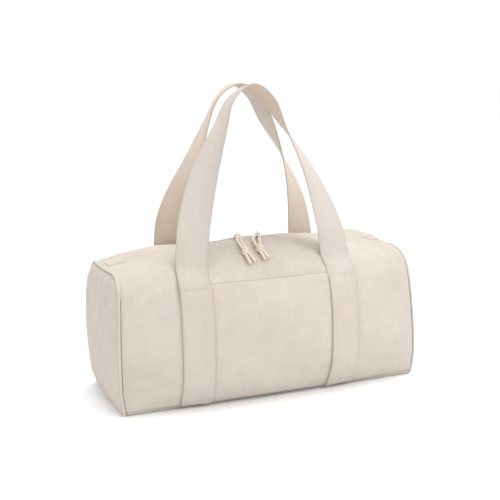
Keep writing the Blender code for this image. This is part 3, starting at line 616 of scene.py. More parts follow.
class Shading:
    """Short hand for building a material's nodes."""

    def __init__(self, name):
        self.material = bpy.data.materials.new(name)
        self.material.use_nodes = True
        self.tree = self.material.node_tree
        self.shader = self.tree.nodes["Principled BSDF"]

    def node(self, kind, inputs=(), **settings):
        made = self.tree.nodes.new(kind)
        for key, value in settings.items():
            setattr(made, key, value)
        for socket, value in dict(inputs).items():
            if isinstance(value, bpy.types.NodeSocket):
                self.tree.links.new(value, made.inputs[socket])
            else:
                made.inputs[socket].default_value = value
        return made

    def sum(self, operation, first, second=0.0):
        return self.node("ShaderNodeMath", {0: first, 1: second}, operation=operation).outputs[0]

    def vector(self, operation, first, second):
        made = self.node("ShaderNodeVectorMath", {0: first, 1: second}, operation=operation)
        return made.outputs[0]

    def noise(self, vector, scale, detail=2.0, stretch=(1.0, 1.0, 1.0)):
        spread = self.vector("MULTIPLY", vector, stretch)
        made = self.node("ShaderNodeTexNoise", {"Vector": spread, "Scale": scale, "Detail": detail})
        return made.outputs["Fac"]

    def between(self, value, low, high, new_low, new_high):
        """Carries a value from one range to another."""
        ranges = {"From Min": low, "From Max": high, "To Min": new_low, "To Max": new_high}
        return self.node("ShaderNodeMapRange", {"Value": value, **ranges}).outputs["Result"]

    def tint(self, colour, factor):
        """The colour made lighter or darker by a factor."""
        base = colour if isinstance(colour, bpy.types.NodeSocket) else colour[:3]
        return self.node("ShaderNodeVectorMath", {0: base, 3: factor}, operation="SCALE").outputs[0]

    def mixed(self, factor, first, second):
        made = self.node("ShaderNodeMix", {0: factor, 6: first, 7: second}, data_type="RGBA")
        return made.outputs[2]

    def finish(self, colour, roughness, height=None, strength=0.5, depth=0.0004, sheen=0.0):
        self.tree.links.new(colour, self.shader.inputs["Base Color"])
        self.shader.inputs["Roughness"].default_value = roughness
        self.shader.inputs["Specular IOR Level"].default_value = 0.22
        self.shader.inputs["Sheen Weight"].default_value = sheen
        self.shader.inputs["Sheen Roughness"].default_value = 0.45
        if height is not None:
            inputs = {"Strength": strength, "Distance": depth, "Height": height}
            bump = self.node("ShaderNodeBump", inputs).outputs[0]
            self.tree.links.new(bump, self.shader.inputs["Normal"])
        return self.material


def rgba(colour, shares=(1.0, 1.0, 1.0)):
    """A colour for a socket, each part times its share."""
    return (*(part * share for part, share in zip(colour, shares)), 1.0)


def woven(name, colour, pitch, ribbed=0.0, mottle=0.05, depth=0.00035, painted_inner_from=None):
    """Plain weave: threads over and under, uneven in thickness, with slubs, pale mottling and
    painted shade between the threads, and on a strap's inner face a painted shade that turns to
    painted light along its length.
    """
    s = Shading(name)
    cut = s.node("ShaderNodeUVMap", uv_map="cloth").outputs[0]
    inputs = {"Vector": cut, "Scale": 140.0, "Detail": 1.0}
    drift = s.node("ShaderNodeTexNoise", inputs).outputs["Color"]
    shift = s.vector("MULTIPLY", drift, (0.00035, 0.00035, 0.0))
    counted = s.tint(s.vector("ADD", cut, shift), 1.0 / pitch)
    parts = s.node("ShaderNodeSeparateXYZ", {0: counted})
    warp, weft = (
        s.sum("ABSOLUTE", s.sum("SINE", s.sum("MULTIPLY", parts.outputs[axis], math.pi)))
        for axis in (0, 1)
    )
    inputs = {"Vector": counted, "Scale": 1.0, "Color1": (1, 1, 1, 1), "Color2": (0, 0, 0, 1)}
    over = s.node("ShaderNodeTexChecker", inputs).outputs["Fac"]
    pick = s.between(over, 0.0, 1.0, ribbed, 1.0)
    height = s.node("ShaderNodeMix", {0: pick, 2: weft, 3: warp}, data_type="FLOAT").outputs[0]
    thick_warp = s.noise(cut, 900.0, 1.0, (1.0, 0.03, 1.0))
    thick_weft = s.noise(cut, 900.0, 1.0, (0.03, 1.0, 1.0))
    thick = s.between(s.sum("ADD", thick_warp, thick_weft), 0.7, 1.3, 0.78, 1.14)
    height = s.sum("MULTIPLY", height, thick)
    # Painted shade between the threads: the colour darkens where the weave's height is low
    tone = s.between(height, 0.0, 1.0, 0.87, 1.035)
    # Blotches, clouds, patches and slubs: the noise, its range and the tones that it spans
    for grain, low, high, dark, light in (
        ((11.0, 3.0), 0.3, 0.7, 1.0 - mottle, 1.0 + mottle * 0.6),
        ((48.0, 3.0), 0.3, 0.7, 1.0 - mottle * 0.6, 1.0 + mottle * 0.6),
        ((250.0, 2.0), 0.3, 0.7, 0.978, 1.022),
        ((260.0, 2.0, (1.0, 0.10, 1.0)), 0.35, 0.75, 0.990, 1.012),
    ):
        tone = s.sum("MULTIPLY", tone, s.between(s.noise(cut, *grain), low, high, dark, light))
    warmth = s.between(s.noise(cut, 7.0, 2.0), 0.35, 0.65, 0.0, 1.0)
    warm = s.mixed(warmth, rgba(colour), rgba(colour, (0.985, 0.962, 0.925)))
    fleck = s.between(s.noise(cut, 620.0, 2.0, (1.0, 0.55, 1.0)), 0.74, 0.80, 0.0, 0.30)
    shown = s.mixed(fleck, warm, rgba(colour, (0.62, 0.50, 0.36)))
    # Painted light and shade on the webbing's inner face: a warmer, browner tint as painted shade,
    # turning to a lighter tint as painted light from 0.70 to 0.86 m along the strap
    if painted_inner_from is not None:
        spot = s.node("ShaderNodeSeparateXYZ", {0: cut})
        inner = s.sum("GREATER_THAN", spot.outputs[0], painted_inner_from)
        along = s.between(spot.outputs[1], 0.70, 0.86, 0.0, 1.0)
        inner_light_and_shade = s.mixed(along, (1.06, 0.99, 0.91, 1.0), (1.12, 1.12, 1.13, 1.0))
        shown = s.mixed(inner, shown, s.vector("MULTIPLY", shown, inner_light_and_shade))
    return s.finish(s.tint(shown, tone), 0.93, height, 0.75, depth, 0.12)


def corded(name, colour):
    """Cotton cord: fine fibres along the lay of the strands."""
    s = Shading(name)
    cut = s.node("ShaderNodeUVMap", uv_map="cloth").outputs[0]
    fibre = s.noise(cut, 1900.0, 2.0, (1.0, 0.25, 1.0))
    cloud = s.between(s.noise(cut, 60.0), 0.3, 0.7, 0.94, 1.03)
    tone = s.sum("MULTIPLY", s.between(fibre, 0.3, 0.7, 0.84, 1.05), cloud)
    return s.finish(s.tint(rgba(colour), tone), 0.9, fibre, 0.6, 0.0002, 0.15)


def aged_metal(name, colour):
    """Antique plated metal, brighter where it rubs."""
    s = Shading(name)
    patina = s.noise(s.node("ShaderNodeTexCoord").outputs["Object"], 700.0, 4.0)
    worn = s.between(patina, 0.45, 0.7, 0.0, 1.0)
    rubbed = s.mixed(worn, rgba(colour), rgba(colour, (1.9, 1.8, 1.6)))
    s.shader.inputs["Metallic"].default_value = 1.0
    return s.finish(rubbed, 0.38, patina, 0.25, 0.00005)


def grained(name, colour, grain, tones, roughness, bump=None):
    """A plain surface with a fine grain, which darkens and lightens it between two tones."""
    s = Shading(name)
    height = s.noise(s.node("ShaderNodeTexCoord").outputs["Object"], *grain)
    shown = s.tint(rgba(colour), s.between(height, 0.3, 0.7, *tones))
    return s.finish(shown, roughness, height, *bump) if bump else s.finish(shown, roughness)


def finish_named(name):
    """A finish from its name, made the first time that it is asked for."""
    made = bpy.data.materials.get(name)
    if made:
        return made
    tones = colours()
    pitch = sizes().weave
    width = sizes().strap_width
    # Painted shade: the end panels' cloth is the canvas darkened, for the shade that falls on the
    # bag's ends
    end = [part * 0.955 for part in tones.canvas]
    cover = [min(part * 1.03, 1.0) for part in tones.canvas]
    tape_grain = (1500.0, 1.0, (0.2, 1.0, 1.0))
    makers = {
        "canvas_cloth": (woven, tones.canvas, pitch),
        "end_cloth": (woven, end, pitch),
        "piping_cloth": (woven, cover, pitch, 0.0, 0.03),
        "webbing": (woven, tones.strap, pitch * 1.25, 0.55, 0.035, 0.00045, width),
        "narrow_tape": (woven, tones.tape, pitch * 0.7, 0.3, 0.04),
        "inner_tape": (grained, tones.tape, tape_grain, (0.88, 1.04), 0.92, (0.5, 0.0002)),
        "pull_cord": (corded, tones.cord),
        "zip_teeth": (grained, tones.coil, (900.0,), (0.9, 1.08), 0.42, (0.2, 0.00005)),
        "slider_metal": (aged_metal, tones.metal),
        "thread": (grained, tones.thread, (2600.0, 1.0), (0.9, 1.04), 0.8, (0.4, 0.0001, 0.1)),
        "studio_floor": (grained, tones.floor, (2.0, 3.0), (0.996, 1.0), 0.9),
    }
    maker, *settings = makers[name]
    return maker(name, *settings)


# Body pieces


def make_body_panel(name, side):
    """Front or back panel, draped over the smooth shape."""

    def place(u, v):
        x = END_X * math.sin(math.pi * (u - 0.5))
        return cloth_point(x, v * mouth_turn(x), side)

    builder = cloth_grid(220, 130, place, 2 * END_X, PANEL_GIRTH)
    map_cloth(builder, lambda spot, flat: (spot.x, flat.y))
    open_sheet(name, builder, "canvas_cloth")


def base_roll(share):
    """Rolled edge of the base, from the flat at share 0 to the base seam at share 1."""
    flat = HALF_DEPTH - BASE_CORNER
    angle = math.pi / 2 * share
    return flat + BASE_CORNER * math.sin(angle), BASE_CORNER * (1.0 - math.cos(angle))


def make_base(name):
    """Flat base with its long edges rolled up to the seams."""
    roll_share = 0.12

    def place(u, v):
        x = END_X * (2 * u - 1)
        side = FRONT if v < 0.5 else BACK
        reach = abs(2 * v - 1)
        if reach > 1.0 - roll_share:
            depth, z = base_roll((reach - 1.0 + roll_share) / roll_share)
            lip = 0.0007 * near(z - BASE_CORNER * 0.55, BASE_CORNER * 0.35)
            return Vector((x, side * (depth + lip), z))
        depth = (HALF_DEPTH - BASE_CORNER) * reach / (1.0 - roll_share)
        sink = 0.0012 * (1.0 - reach) * (0.5 + 0.5 * wobble(x, depth * side, 9.0, 31.0))
        return Vector((x, side * depth, sink))

    builder = cloth_grid(160, 80, place, 2 * END_X, 2 * HALF_DEPTH + BASE_CORNER)
    open_sheet(name, builder, "canvas_cloth")


def end_outline(count):
    """Outline of the end seam as 2D points, evenly apart and closed, from the crown round."""
    half = [body_point(END_X, 1.0 - step / 60, BACK).yz for step in range(61)]
    half += [Vector(base_roll(1.0 - step / 12)) for step in range(1, 13)]
    half.append(Vector((0.0, 0.0)))
    other = [Vector((-point.x, point.y)) for point in half[-2:0:-1]]
    return even_path(half + other, count, True)


def inward_of(outline, index):
    """Unit direction into an outline that runs round from the crown over the back."""
    along = outline[(index + 1) % len(outline)] - outline[index - 1]
    along.normalize()
    return Vector((along.y, -along.x))


def end_crease(y, z):
    """Soft creases that hang from the top of an end panel."""
    height = clamped((z - 0.085) / (END_HEIGHT - 0.085))
    drift = y + 0.10 * (1.0 - height) * y
    folds = 0.0
    for centre, width, depth in END_CREASES:
        folds -= depth * near(drift - centre, width)
        folds += 0.7 * depth * near(drift - centre - 1.6 * width, width)
    return 0.0044 * folds * height**1.8 + 0.0010 * wobble(y, z, 22.0, 51.0) * height


def make_end_panel(name, side):
    """End panel: a full pillow, creased towards its top seam."""
    count = 300
    outline = end_outline(count)
    inset = 2 * sizes().piping - PIPING_PROUD + GAP
    centre = Vector((0.0, END_HEIGHT * PILLOW_CENTRE_SHARE))
    rim = []
    for index, point in enumerate(outline):
        moved = point + inward_of(outline, index) * inset
        rim.append(Vector((moved.x, max(moved.y, 2 * sizes().piping + 2 * GAP))))

    def place(u, v):
        t = math.sin(math.pi / 2 * (1.0 - v))
        spot = centre + (rim[round(u * count) % count] - centre) * t
        bulge = END_BULGE * math.sqrt(max(0.0, 1.0 - t**4))
        soft = 0.0018 * wobble(*spot, 11.0, 60.0 + side) + 0.0004 * wobble(*spot, 48.0, 70.0 + side)
        soft += end_crease(*spot)
        phase = 4.0 * wobble(*spot, 12.0, 80.0 + side)
        pucker = 0.0006 * math.sin(u * 46 * 2 * math.pi + phase) * near(1.0 - t, 0.10)
        x = END_X + GAP + sizes().canvas + bulge + (soft + pucker) * (1.0 - t**6)
        return Vector((side * x, *spot))

    builder = cloth_grid(count, 60, place, 1.0, 1.0, True)
    map_cloth(builder, lambda spot, _: spot.yz)
    # The end panels' cloth carries painted shade
    open_sheet(name, builder, "end_cloth")


def make_piping(name, side):
    """Covered cord round the end seam, a little uneven under its cover."""
    count = 420
    radius = sizes().piping
    outline = end_outline(count)

    def place(u, v):
        index = round(v * count) % count
        angle = 2 * math.pi * u
        inward = inward_of(outline, index)
        uneven = 1.0 + 0.05 * wobble(v * 40, side, 1.0, 5.0)
        out = math.cos(angle) * radius * uneven
        spot = outline[index] + inward * (radius - PIPING_PROUD - radius * uneven * math.sin(angle))
        z = max(spot.y, GAP + radius + radius * uneven * math.sin(angle) * -inward.y)
        return Vector((side * (END_X + GAP + radius + out), spot.x, z))

    builder = cloth_grid(14, count, place, 2 * math.pi * radius, 0.80, True)
    piece = make_piece(name, builder, "piping_cloth", "bag_body")
    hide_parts(name)


def make_pocket(name):
    """Slip pocket, slack at its mouth, with a turned hem."""
    left, right = strap_centres(FRONT)
    half = sizes().strap_width / 2
    start = left + half - POCKET_TUCK
    stop = right - half + POCKET_TUCK
    hem = sizes().hem
    stitched = (EDGE_STITCH_INSET, hem - HEM_STITCH_INSET)

    def place(u, v):
        x = start + (stop - start) * u
        turn = v * turn_at_height(x, POCKET_TOP)
        below = (1.0 - v) * POCKET_TALL
        open_side = (1.0 - abs(2 * u - 1)) * (stop - start) / 2 - POCKET_TUCK
        side_fade = clamped(open_side / 0.035) ** 0.7
        gape = 0.0003 * side_fade * v**3 * (1.0 + 0.7 * wobble(x, 0.0, 14.0, 21.0))
        folds = 0.0011 * wobble(x, below * 0.4, 24.0, 25.0) * side_fade
        hem_step = sizes().canvas * 0.4 / (1.0 + math.exp((below - hem) / 0.00035))
        dips = sum(0.00030 * near(below - depth, 0.0006) for depth in stitched)
        turned = 0.0004 * near(below, 0.0006)
        seam_dip = 0.0004 * near(open_side, 0.0020)
        foot_dip = 0.0008 * near(v * POCKET_TALL, 0.0022)
        lift = LAYER_GAP + sizes().canvas + gape + folds + hem_step
        return cloth_point(x, turn, FRONT, lift - dips - turned - seam_dip - foot_dip)

    open_sheet(name, cloth_grid(120, 170, place, stop - start, POCKET_TALL), "canvas_cloth")
    lift = Vector((0.0, -1.0, 0.30)).normalized() * THREAD_LIFT
    stitch_rows("front_pocket_stitches", [
        [place(u / 100, 1.0 - below / POCKET_TALL) + lift for u in range(5, 96)]
        for below in stitched
    ])


def stitch_rows(name, rows):
    """Running stitches along paths on the cloth."""
    pitch = sizes().stitch_pitch
    radius = sizes().stitch_radius
    builder = bmesh.new()
    for row in rows:
        count = max(2, round(path_length(row) / pitch * 2) + 1)
        spots = even_path(row, count)
        for index in range(0, count - 1, 2):
            start, finish = spots[index], spots[index + 1]
            way = finish - start
            middle = (start + finish) / 2
            turn = way.to_track_quat("X", "Z").to_matrix().to_4x4()
            shape = Matrix.Diagonal((way.length * 0.72, radius, radius, 1.0))
            matrix = Matrix.Translation(middle) @ turn @ shape
            bmesh.ops.create_icosphere(builder, subdivisions=1, radius=1.0, matrix=matrix)
    piece = make_piece(name, builder, "thread", "bag_body")
    return piece


# Straps


def leg_points(side, hand, shares, loop_rise):
    """Middle line of a leg, with the twist at each of its points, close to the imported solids."""
    shift = strap_shift(side)
    hinge_y = hinge_depth(side)
    top_y = side * (sizes().strap_width / 2 + LOOPS_APART / 2)
    places = []
    twists = []
    for rise_share, spread_share, lean_share, twist_share in zip(LEG_RISES, *shares):
        drift = shift + (LOOP_TOP_SHIFT - shift) * rise_share
        x = drift + hand * STRAP_SPREAD * spread_share
        y = hinge_y + (top_y - hinge_y) * lean_share
        places.append(Vector((x, y, HINGE_HEIGHT + loop_rise * rise_share)))
        twists.append(Vector((math.radians(TOP_TWIST) * twist_share, 0.0, 0.0)))
    return places, twists


def loop_line(side, left_leg, right_leg, loop_rise):
    """Smooth middle line of the loop and its twist, from the left hinge to the right one."""
    left = leg_points(side, LEFT, left_leg, loop_rise)
    right = leg_points(side, RIGHT, right_leg, loop_rise)
    line, twists = (smooth_path(a + b[::-1], 16) for a, b in zip(left, right))
    return line, [item.x for item in twists]


def loop_rows(line, twists, shares_across):
    """Points across the webbing at each step of the loop."""
    half = sizes().strap_width / 2
    rows = []
    last = len(line) - 1
    towards_front = Vector((0.0, -1.0, 0.0))
    for index, twist in enumerate(twists):
        way = line[min(index + 1, last)] - line[max(index - 1, 0)]
        way.x *= min(min(index, last - index) / 5.0, 1.0)
        way.normalize()
        facing = (towards_front - way * towards_front.dot(way)).normalized()
        normal = facing * math.cos(twist) - way.cross(facing) * math.sin(twist)
        across = normal.cross(way)
        cup = 0.0011 * math.sin(math.pi * index / last)
        row = [line[index] + across * (half * a) - normal * (cup * a * a) for a in shares_across]
        rows.append([drawn_to_cloth(spot) for spot in row])
    return rows


def drawn_to_cloth(place):
    """A point of a loop, lying closer to the cloth in the first inch above the strap top."""
    up = place.z - HINGE_HEIGHT
    if up <= 0.0 or up >= 0.068:
        return place
    room = 0.050
    if place.z < crown_height(place.x) - 0.002:
        room = abs(place.y) - dome_depth(place.x, place.z) - 0.0034
    shift = min(0.0085 * smooth(up / 0.016) * (1.0 - smooth((up - 0.017) / 0.050)), max(room, 0.0))
    return place - Vector((0.0, math.copysign(shift, place.y), 0.0))


def over_pocket(x, z, centre):
    """How far the webbing stands up where a side of the pocket is tucked under it."""
    inner = sizes().strap_width / 2 - (x - centre) * (1 if centre < 0 else -1)
    beneath = smooth(1.0 - (inner - POCKET_TUCK + 0.002) / 0.013)
    low = clamped((POCKET_TOP + 0.004 - z) / 0.012)
    hem = clamped((z - POCKET_TOP + sizes().hem + 0.003) / 0.004)
    return beneath * low * (sizes().canvas + LAYER_GAP + 0.0007 * hem)


def sewn_rows(side, centre, shares_across, steps):
    """Points across the sewn length of webbing, from the base seam to the hinge."""
    half = sizes().strap_width / 2
    lift = LAYER_GAP + sizes().strap_thickness / 2
    rows = []
    for step in range(steps):
        share = step / steps
        row = []
        for a in shares_across:
            x = centre + half * a
            turn = share * turn_at_height(x, HINGE_HEIGHT)
            raised = over_pocket(x, body_point(x, turn, side).z, centre) if side == FRONT else 0.0
            row.append(cloth_point(x, turn, side, lift + raised))
        rows.append(row)
    return rows


def blend_rows(sewn, loop, steps):
    """Eases the last sewn rows towards the first row of the loop."""
    gap = [a - b - (b - c) for a, b, c in zip(loop[0], sewn[-1], sewn[-2])]
    eased = []
    for index, row in enumerate(sewn):
        weight = smooth(1.0 - (len(sewn) - 1 - index) / steps)
        eased.append([point + g * weight for point, g in zip(row, gap)])
    return eased


def strap_rows(side, line, twists):
    """Middle surface of a whole strap: up one side, over the loop and down the other."""
    across = [math.sin(math.pi / 2 * (2 * j / 24 - 1)) for j in range(25)]
    left, right = strap_centres(side)
    loop = loop_rows(line, twists, across)
    # The loop's rows run across from one edge to the other in the sewn rows' order
    if (loop[0][0] - loop[0][-1]).x > 0:
        loop = [row[::-1] for row in loop]
    up = blend_rows(sewn_rows(side, left, across, 60), loop, 10)
    down = blend_rows(sewn_rows(side, right, across, 60), [loop[-1][::-1]], 10)
    return up + loop + [row[::-1] for row in reversed(down)], len(up), across


def row_normals(rows):
    """Normals of a table of points."""
    table = []
    for i, row in enumerate(rows):
        steps = zip(rows[min(i + 1, len(rows) - 1)], rows[max(i - 1, 0)])
        edges = zip(row[1:] + row[-1:], row[:1] + row[:-1])
        table.append([
            (after - before).cross(far - near_by).normalized()
            for (after, before), (far, near_by) in zip(steps, edges)
        ])
    return table


def outward_sign(normals, side):
    """Which way along their normals a strap's rows face away from the bag."""
    return 1.0 if normals[0][len(normals[0]) // 2].y * side > 0 else -1.0


def make_strap(word, side, line, twists):
    """One length of webbing: both sewn ends and the free loop between them."""
    rows, sewn, across = strap_rows(side, line, twists)
    normals = row_normals(rows)
    last = len(across) - 1
    half = sizes().strap_thickness / 2
    total = len(rows) - 1
    outward = outward_sign(normals, side)

    def place(u, v):
        step = round(u * 2 * last) % (2 * last)
        face = outward if step <= last else -outward
        j = step if step <= last else 2 * last - step
        i = round(v * total)
        edge = 1.0 - abs(across[j])
        body = half * min(1.0, math.sqrt(max(edge, 0.0) / 0.035))
        ribbing = 0.00004 * math.sin(across[j] * 60.0)
        return rows[i][j] + normals[i][j] * face * (body + ribbing)

    length = path_length([row[last // 2] for row in rows])
    builder = cloth_grid(2 * last, total, place, 2 * sizes().strap_width, length, True)
    close_ends(builder)
    piece = make_piece(word + "_strap", builder, "webbing", None)
    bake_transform(piece)
    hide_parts(word + "_handle", word + "_left_strap", word + "_right_strap")
    make_strap_stitches(word, rows, normals, sewn, across, side)


def make_strap_stitches(word, rows, normals, sewn, across, side):
    """Edge rows down both sewn ends and two rows across each strap top."""
    out = (sizes().strap_thickness / 2 + THREAD_LIFT) * outward_sign(normals, side)

    def spot(i, j):
        return rows[i][j] + normals[i][j] * out

    last = len(rows) - 1
    edge = 4
    paths = []
    for ends in (range(2, sewn - 2), range(last - 2, last - sewn + 2, -1)):
        for j in (edge, len(across) - 1 - edge):
            paths.append([spot(i, j) for i in ends])
        for height in (HINGE_HEIGHT - 0.005, HINGE_HEIGHT - 0.012):
            i = min(ends, key=lambda k: abs(rows[k][len(across) // 2].z - height))
            paths.append([spot(i, j) for j in range(edge, len(across) - edge)])
    piece = stitch_rows(word + "_strap_stitches", paths)
    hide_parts(word + "_left_strap_stitching", word + "_right_strap_stitching")


# Zip


def crown_matrix(x):
    """Frame on the crown: X along the zip, Z straight out of the bag."""
    angle = math.asin(x / CROWN_RADIUS)
    centre = Vector((0.0, 0.0, MID_HEIGHT - CROWN_RADIUS))
    turn = Matrix.Rotation(angle, 4, "Y")
    return Matrix.Translation(centre) @ turn @ Matrix.Translation((0.0, 0.0, CROWN_RADIUS))


def make_tape(name, side):
    """Woven tape under the panel's edge."""
    drop = sizes().canvas + sizes().seat

    def place(u, v):
        x = ZIP_HALF_LENGTH * (2 * u - 1)
        y = 0.0008 + (TAPE_HALF_WIDTH - 0.0008) * v
        z = top_height(x, y) - drop - 0.0004 * max(0.0, y - ZIP_HALF_MOUTH) / 0.010
        return Vector((x, side * y, min(z, crown_height(x) - drop)))

    builder = cloth_grid(140, 8, place, 2 * ZIP_HALF_LENGTH, TAPE_HALF_WIDTH)
    open_sheet(name, builder, "narrow_tape", TAPE_THICKNESS)


def make_teeth(name, side):
    """One half of the closed chain: rounded teeth that mesh at the middle."""
    pitch = sizes().coil_pitch
    count = int(2 * ZIP_HALF_LENGTH / pitch)
    builder = bmesh.new()
    for index in range(count):
        x = -ZIP_HALF_LENGTH + pitch * (index + (0.25 if side == FRONT else 0.75))
        place = crown_matrix(x) @ Matrix.Translation((0.0, side * 0.0009, -0.0007))
        shape = Matrix.Diagonal((pitch * 0.36, 0.0008, 0.0006, 1.0))
        bmesh.ops.create_icosphere(builder, subdivisions=1, radius=1.0, matrix=place @ shape)
    piece = make_piece(name + "_teeth", builder, "zip_teeth", "bag_body")
    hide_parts(name)


def make_tab(name, side):
    """Folded canvas tab over the end of the zip, stitched down."""
    length = TAB_OUTER_END - TAB_INNER_END

    def place(u, v):
        x = side * (TAB_INNER_END + length * u)
        y = TAB_HALF_WIDTH * (2 * v - 1)
        edge = min(u * length, (1.0 - u) * length, (1.0 - abs(2 * v - 1)) * TAB_HALF_WIDTH)
        fold = 0.0005 * math.exp(-edge / 0.0007)
        dip = 0.00035 * near(edge - TAB_STITCH_INSET, 0.0008)
        ridge = 0.0003 * near(y, 0.004)
        beyond = max(abs(y), half_mouth(x))
        turn = turn_of(beyond, top_height(x, beyond))
        share = clamped(0.5 + y / ZIP_HALF_MOUTH / 2)
        under = slack(x, turn, FRONT) * (1.0 - share) + slack(x, turn, BACK) * share
        return Vector((x, y, top_height(x, y) + under + 0.0011 - fold - dip + ridge))

    builder = cloth_grid(40, 36, place, length, 2 * TAB_HALF_WIDTH)
    open_sheet(name, builder, "canvas_cloth", TAB_THICKNESS)
    u_in, v_in = TAB_STITCH_INSET / length, TAB_STITCH_INSET / (2 * TAB_HALF_WIDTH)
    corners = ((u_in, v_in), (1 - u_in, v_in), (1 - u_in, 1 - v_in), (u_in, 1 - v_in), (u_in, v_in))
    stitch_rows(name + "_stitches", [
        [place(u0 + (u1 - u0) * k / 12, v0 + (v1 - v0) * k / 12) for k in range(13)]
        for (u0, v0), (u1, v1) in zip(corners, corners[1:])
    ])


def make_mouth_stitches(name, side):
    """Topstitching beside the zip's mouth."""
    y = ZIP_HALF_MOUTH + MOUTH_STITCH_INSET
    row = []
    for step in range(201):
        x = (TAB_INNER_END - 0.002) * (step / 100 - 1)
        row.append(cloth_point(x, turn_of(y, top_height(x, y)), side, THREAD_LIFT))
    stitch_rows(name, [row])


def add_plate(builder, low, high):
    """A slider's plate: a rounded square, narrower at one end, with eased edges."""
    made = bmesh.ops.create_circle(builder, cap_ends=True, segments=28, radius=1.0)
    for vert in made["verts"]:
        spot = vert.co
        pinch = 1.0 - 0.16 * (spot.x * 0.5 + 0.5)
        reach = (abs(spot.x) ** 3.2 + abs(spot.y) ** 3.2) ** (-1 / 3.2)
        vert.co = Vector((spot.x * reach * 0.0060, spot.y * reach * 0.0048 * pinch, low))
    grown = bmesh.ops.extrude_face_region(builder, geom=made["verts"][0].link_faces[:])
    top = [item for item in grown["geom"] if isinstance(item, bmesh.types.BMVert)]
    bmesh.ops.translate(builder, vec=(0.0, 0.0, high - low), verts=top)
    bmesh.ops.bevel(
        builder, geom=[edge for edge in builder.edges if all(vert in top for vert in edge.verts)],
        offset=0.00035, offset_type="OFFSET", segments=2, profile=0.5, affect="EDGES", material=-1,
    )


def make_slider(word, x):
    """Slider body with two plates and the post between them, and its wire bail."""
    place = crown_matrix(x)
    builder = bmesh.new()
    builder.loops.layers.uv.new("cloth")
    add_plate(builder, GAP, PLATE_TOP)
    add_plate(builder, -0.0038, -0.0029)
    made = bmesh.ops.create_cube(builder, size=1.0)
    bmesh.ops.scale(builder, vec=(0.0030, 0.0010, 0.0036), verts=made["verts"])
    bmesh.ops.translate(builder, vec=(0.0, 0.0, -0.0014), verts=made["verts"])
    builder.transform(place)
    body = make_piece(word + "_slider_body", builder, "slider_metal", word + "_slider")
    foot = PLATE_TOP - 0.0008
    side = [Vector((BAIL_HALF_SPAN, 0.0, z)) for z in (foot, BAR_HEIGHT - BAIL_CORNER)]
    for step in range(1, 7):
        angle = math.pi / 2 * step / 6
        along = BAIL_HALF_SPAN - BAIL_CORNER * (1 - math.cos(angle))
        side.append(Vector((along, 0.0, BAR_HEIGHT - BAIL_CORNER * (1 - math.sin(angle)))))
    wire = even_path(side + [Vector((-spot.x, 0.0, spot.z)) for spot in reversed(side)], 60)
    bail = tube(wire, lambda length, angle: BAIL_WIRE_RADIUS, 12)
    bail.transform(place)
    piece = make_piece(word + "_bail", bail, "slider_metal", word + "_slider")
    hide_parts(word + "_slider")


def on_fabric(x, y, lift):
    """A point at a distance from the domed top, straight out of it."""
    step = 0.0003
    slope_x = (top_height(x + step, y) - top_height(x - step, y)) / (2 * step)
    slope_y = (top_height(x, y + step) - top_height(x, y - step)) / (2 * step)
    normal = Vector((-slope_x, -slope_y, 1.0)).normalized()
    return Vector((x, y, top_height(x, y))) + normal * lift


def pull_halves(slider_x, lay):
    """Two strands of a pull, from the back of the bail's bar to the tails, and the knot's place."""
    radius = sizes().cord
    bar = crown_matrix(slider_x) @ Vector((0.0, 0.0, BAR_HEIGHT))
    wrap = BAIL_WIRE_RADIUS + GAP + radius * PINCH_AT_BAR
    middles = [Vector((bar.x, bar.y))] + [Vector(item[:2]) for item in lay]

    def lying(step, way):
        ahead = (middles[min(step + 2, len(lay))] - middles[step]).normalized()
        spot = middles[step + 1] + Vector((ahead.y, -ahead.x)) * (way * lay[step][2])
        lift = (radius, radius, KNOT_HALF_HEIGHT - 0.0006, KNOT_HALF_HEIGHT)[min(step, KNOT_STEP)]
        return on_fabric(spot.x, spot.y, lift + 2 * GAP)

    def strand(way):
        line = [lying(step, way) for step in range(len(lay))]
        line[0].z = (bar.z + way * wrap + line[0].z) / 2
        return line

    back = bar + Vector((0.0, wrap, 0.0))
    halves = []
    for way in (-1, 1):
        turn = [back]
        for degrees in (45.0, 90.0):
            angle = math.radians(degrees) * way
            turn.append(bar + Vector((0.0, wrap * math.cos(angle), wrap * math.sin(angle))))
        halves.append(even_path(smooth_path(turn + strand(way), 10), 130))
    return halves, (lying(KNOT_STEP, -1) + lying(KNOT_STEP, 1)) / 2


def make_knot(name, halves, place, body):
    """The overhand knot: cord wound twice round the two strands."""
    index = min(range(len(halves[0])), key=lambda k: (halves[0][k] - place).length)
    middle = (halves[0][index] + halves[1][index]) / 2
    along = ((halves[0][index + 4] + halves[1][index + 4]) / 2 - middle).normalized()
    across = (halves[1][index] - halves[0][index]).normalized()
    outward = along.cross(across).normalized()
    if outward.z < 0:
        outward = -outward
    path = []
    for step in range(121):
        t = step / 120
        angle = 2 * math.pi * KNOT_TURNS * t + 0.6
        slant = 0.0012 * math.sin(angle)
        spot = along * ((t - 0.5) * 0.0106 + slant)
        spot += across * (0.0049 * math.cos(angle)) + outward * (0.0036 * math.sin(angle))
        path.append(middle + spot)
    builder = tube(even_path(path, 150), strand_radius(sizes().cord * 0.86), 16)
    return make_piece(name, builder, "pull_cord", body)


def strand_radius(radius):
    """Radius of a three-strand cord at a length and an angle, for the lay of its strands."""

    def at(length, angle):
        lay = 1.5 * (angle - length / 0.0085 * 2 * math.pi)
        return radius * (0.80 + 0.20 * abs(math.cos(lay)) ** 0.6)

    return at


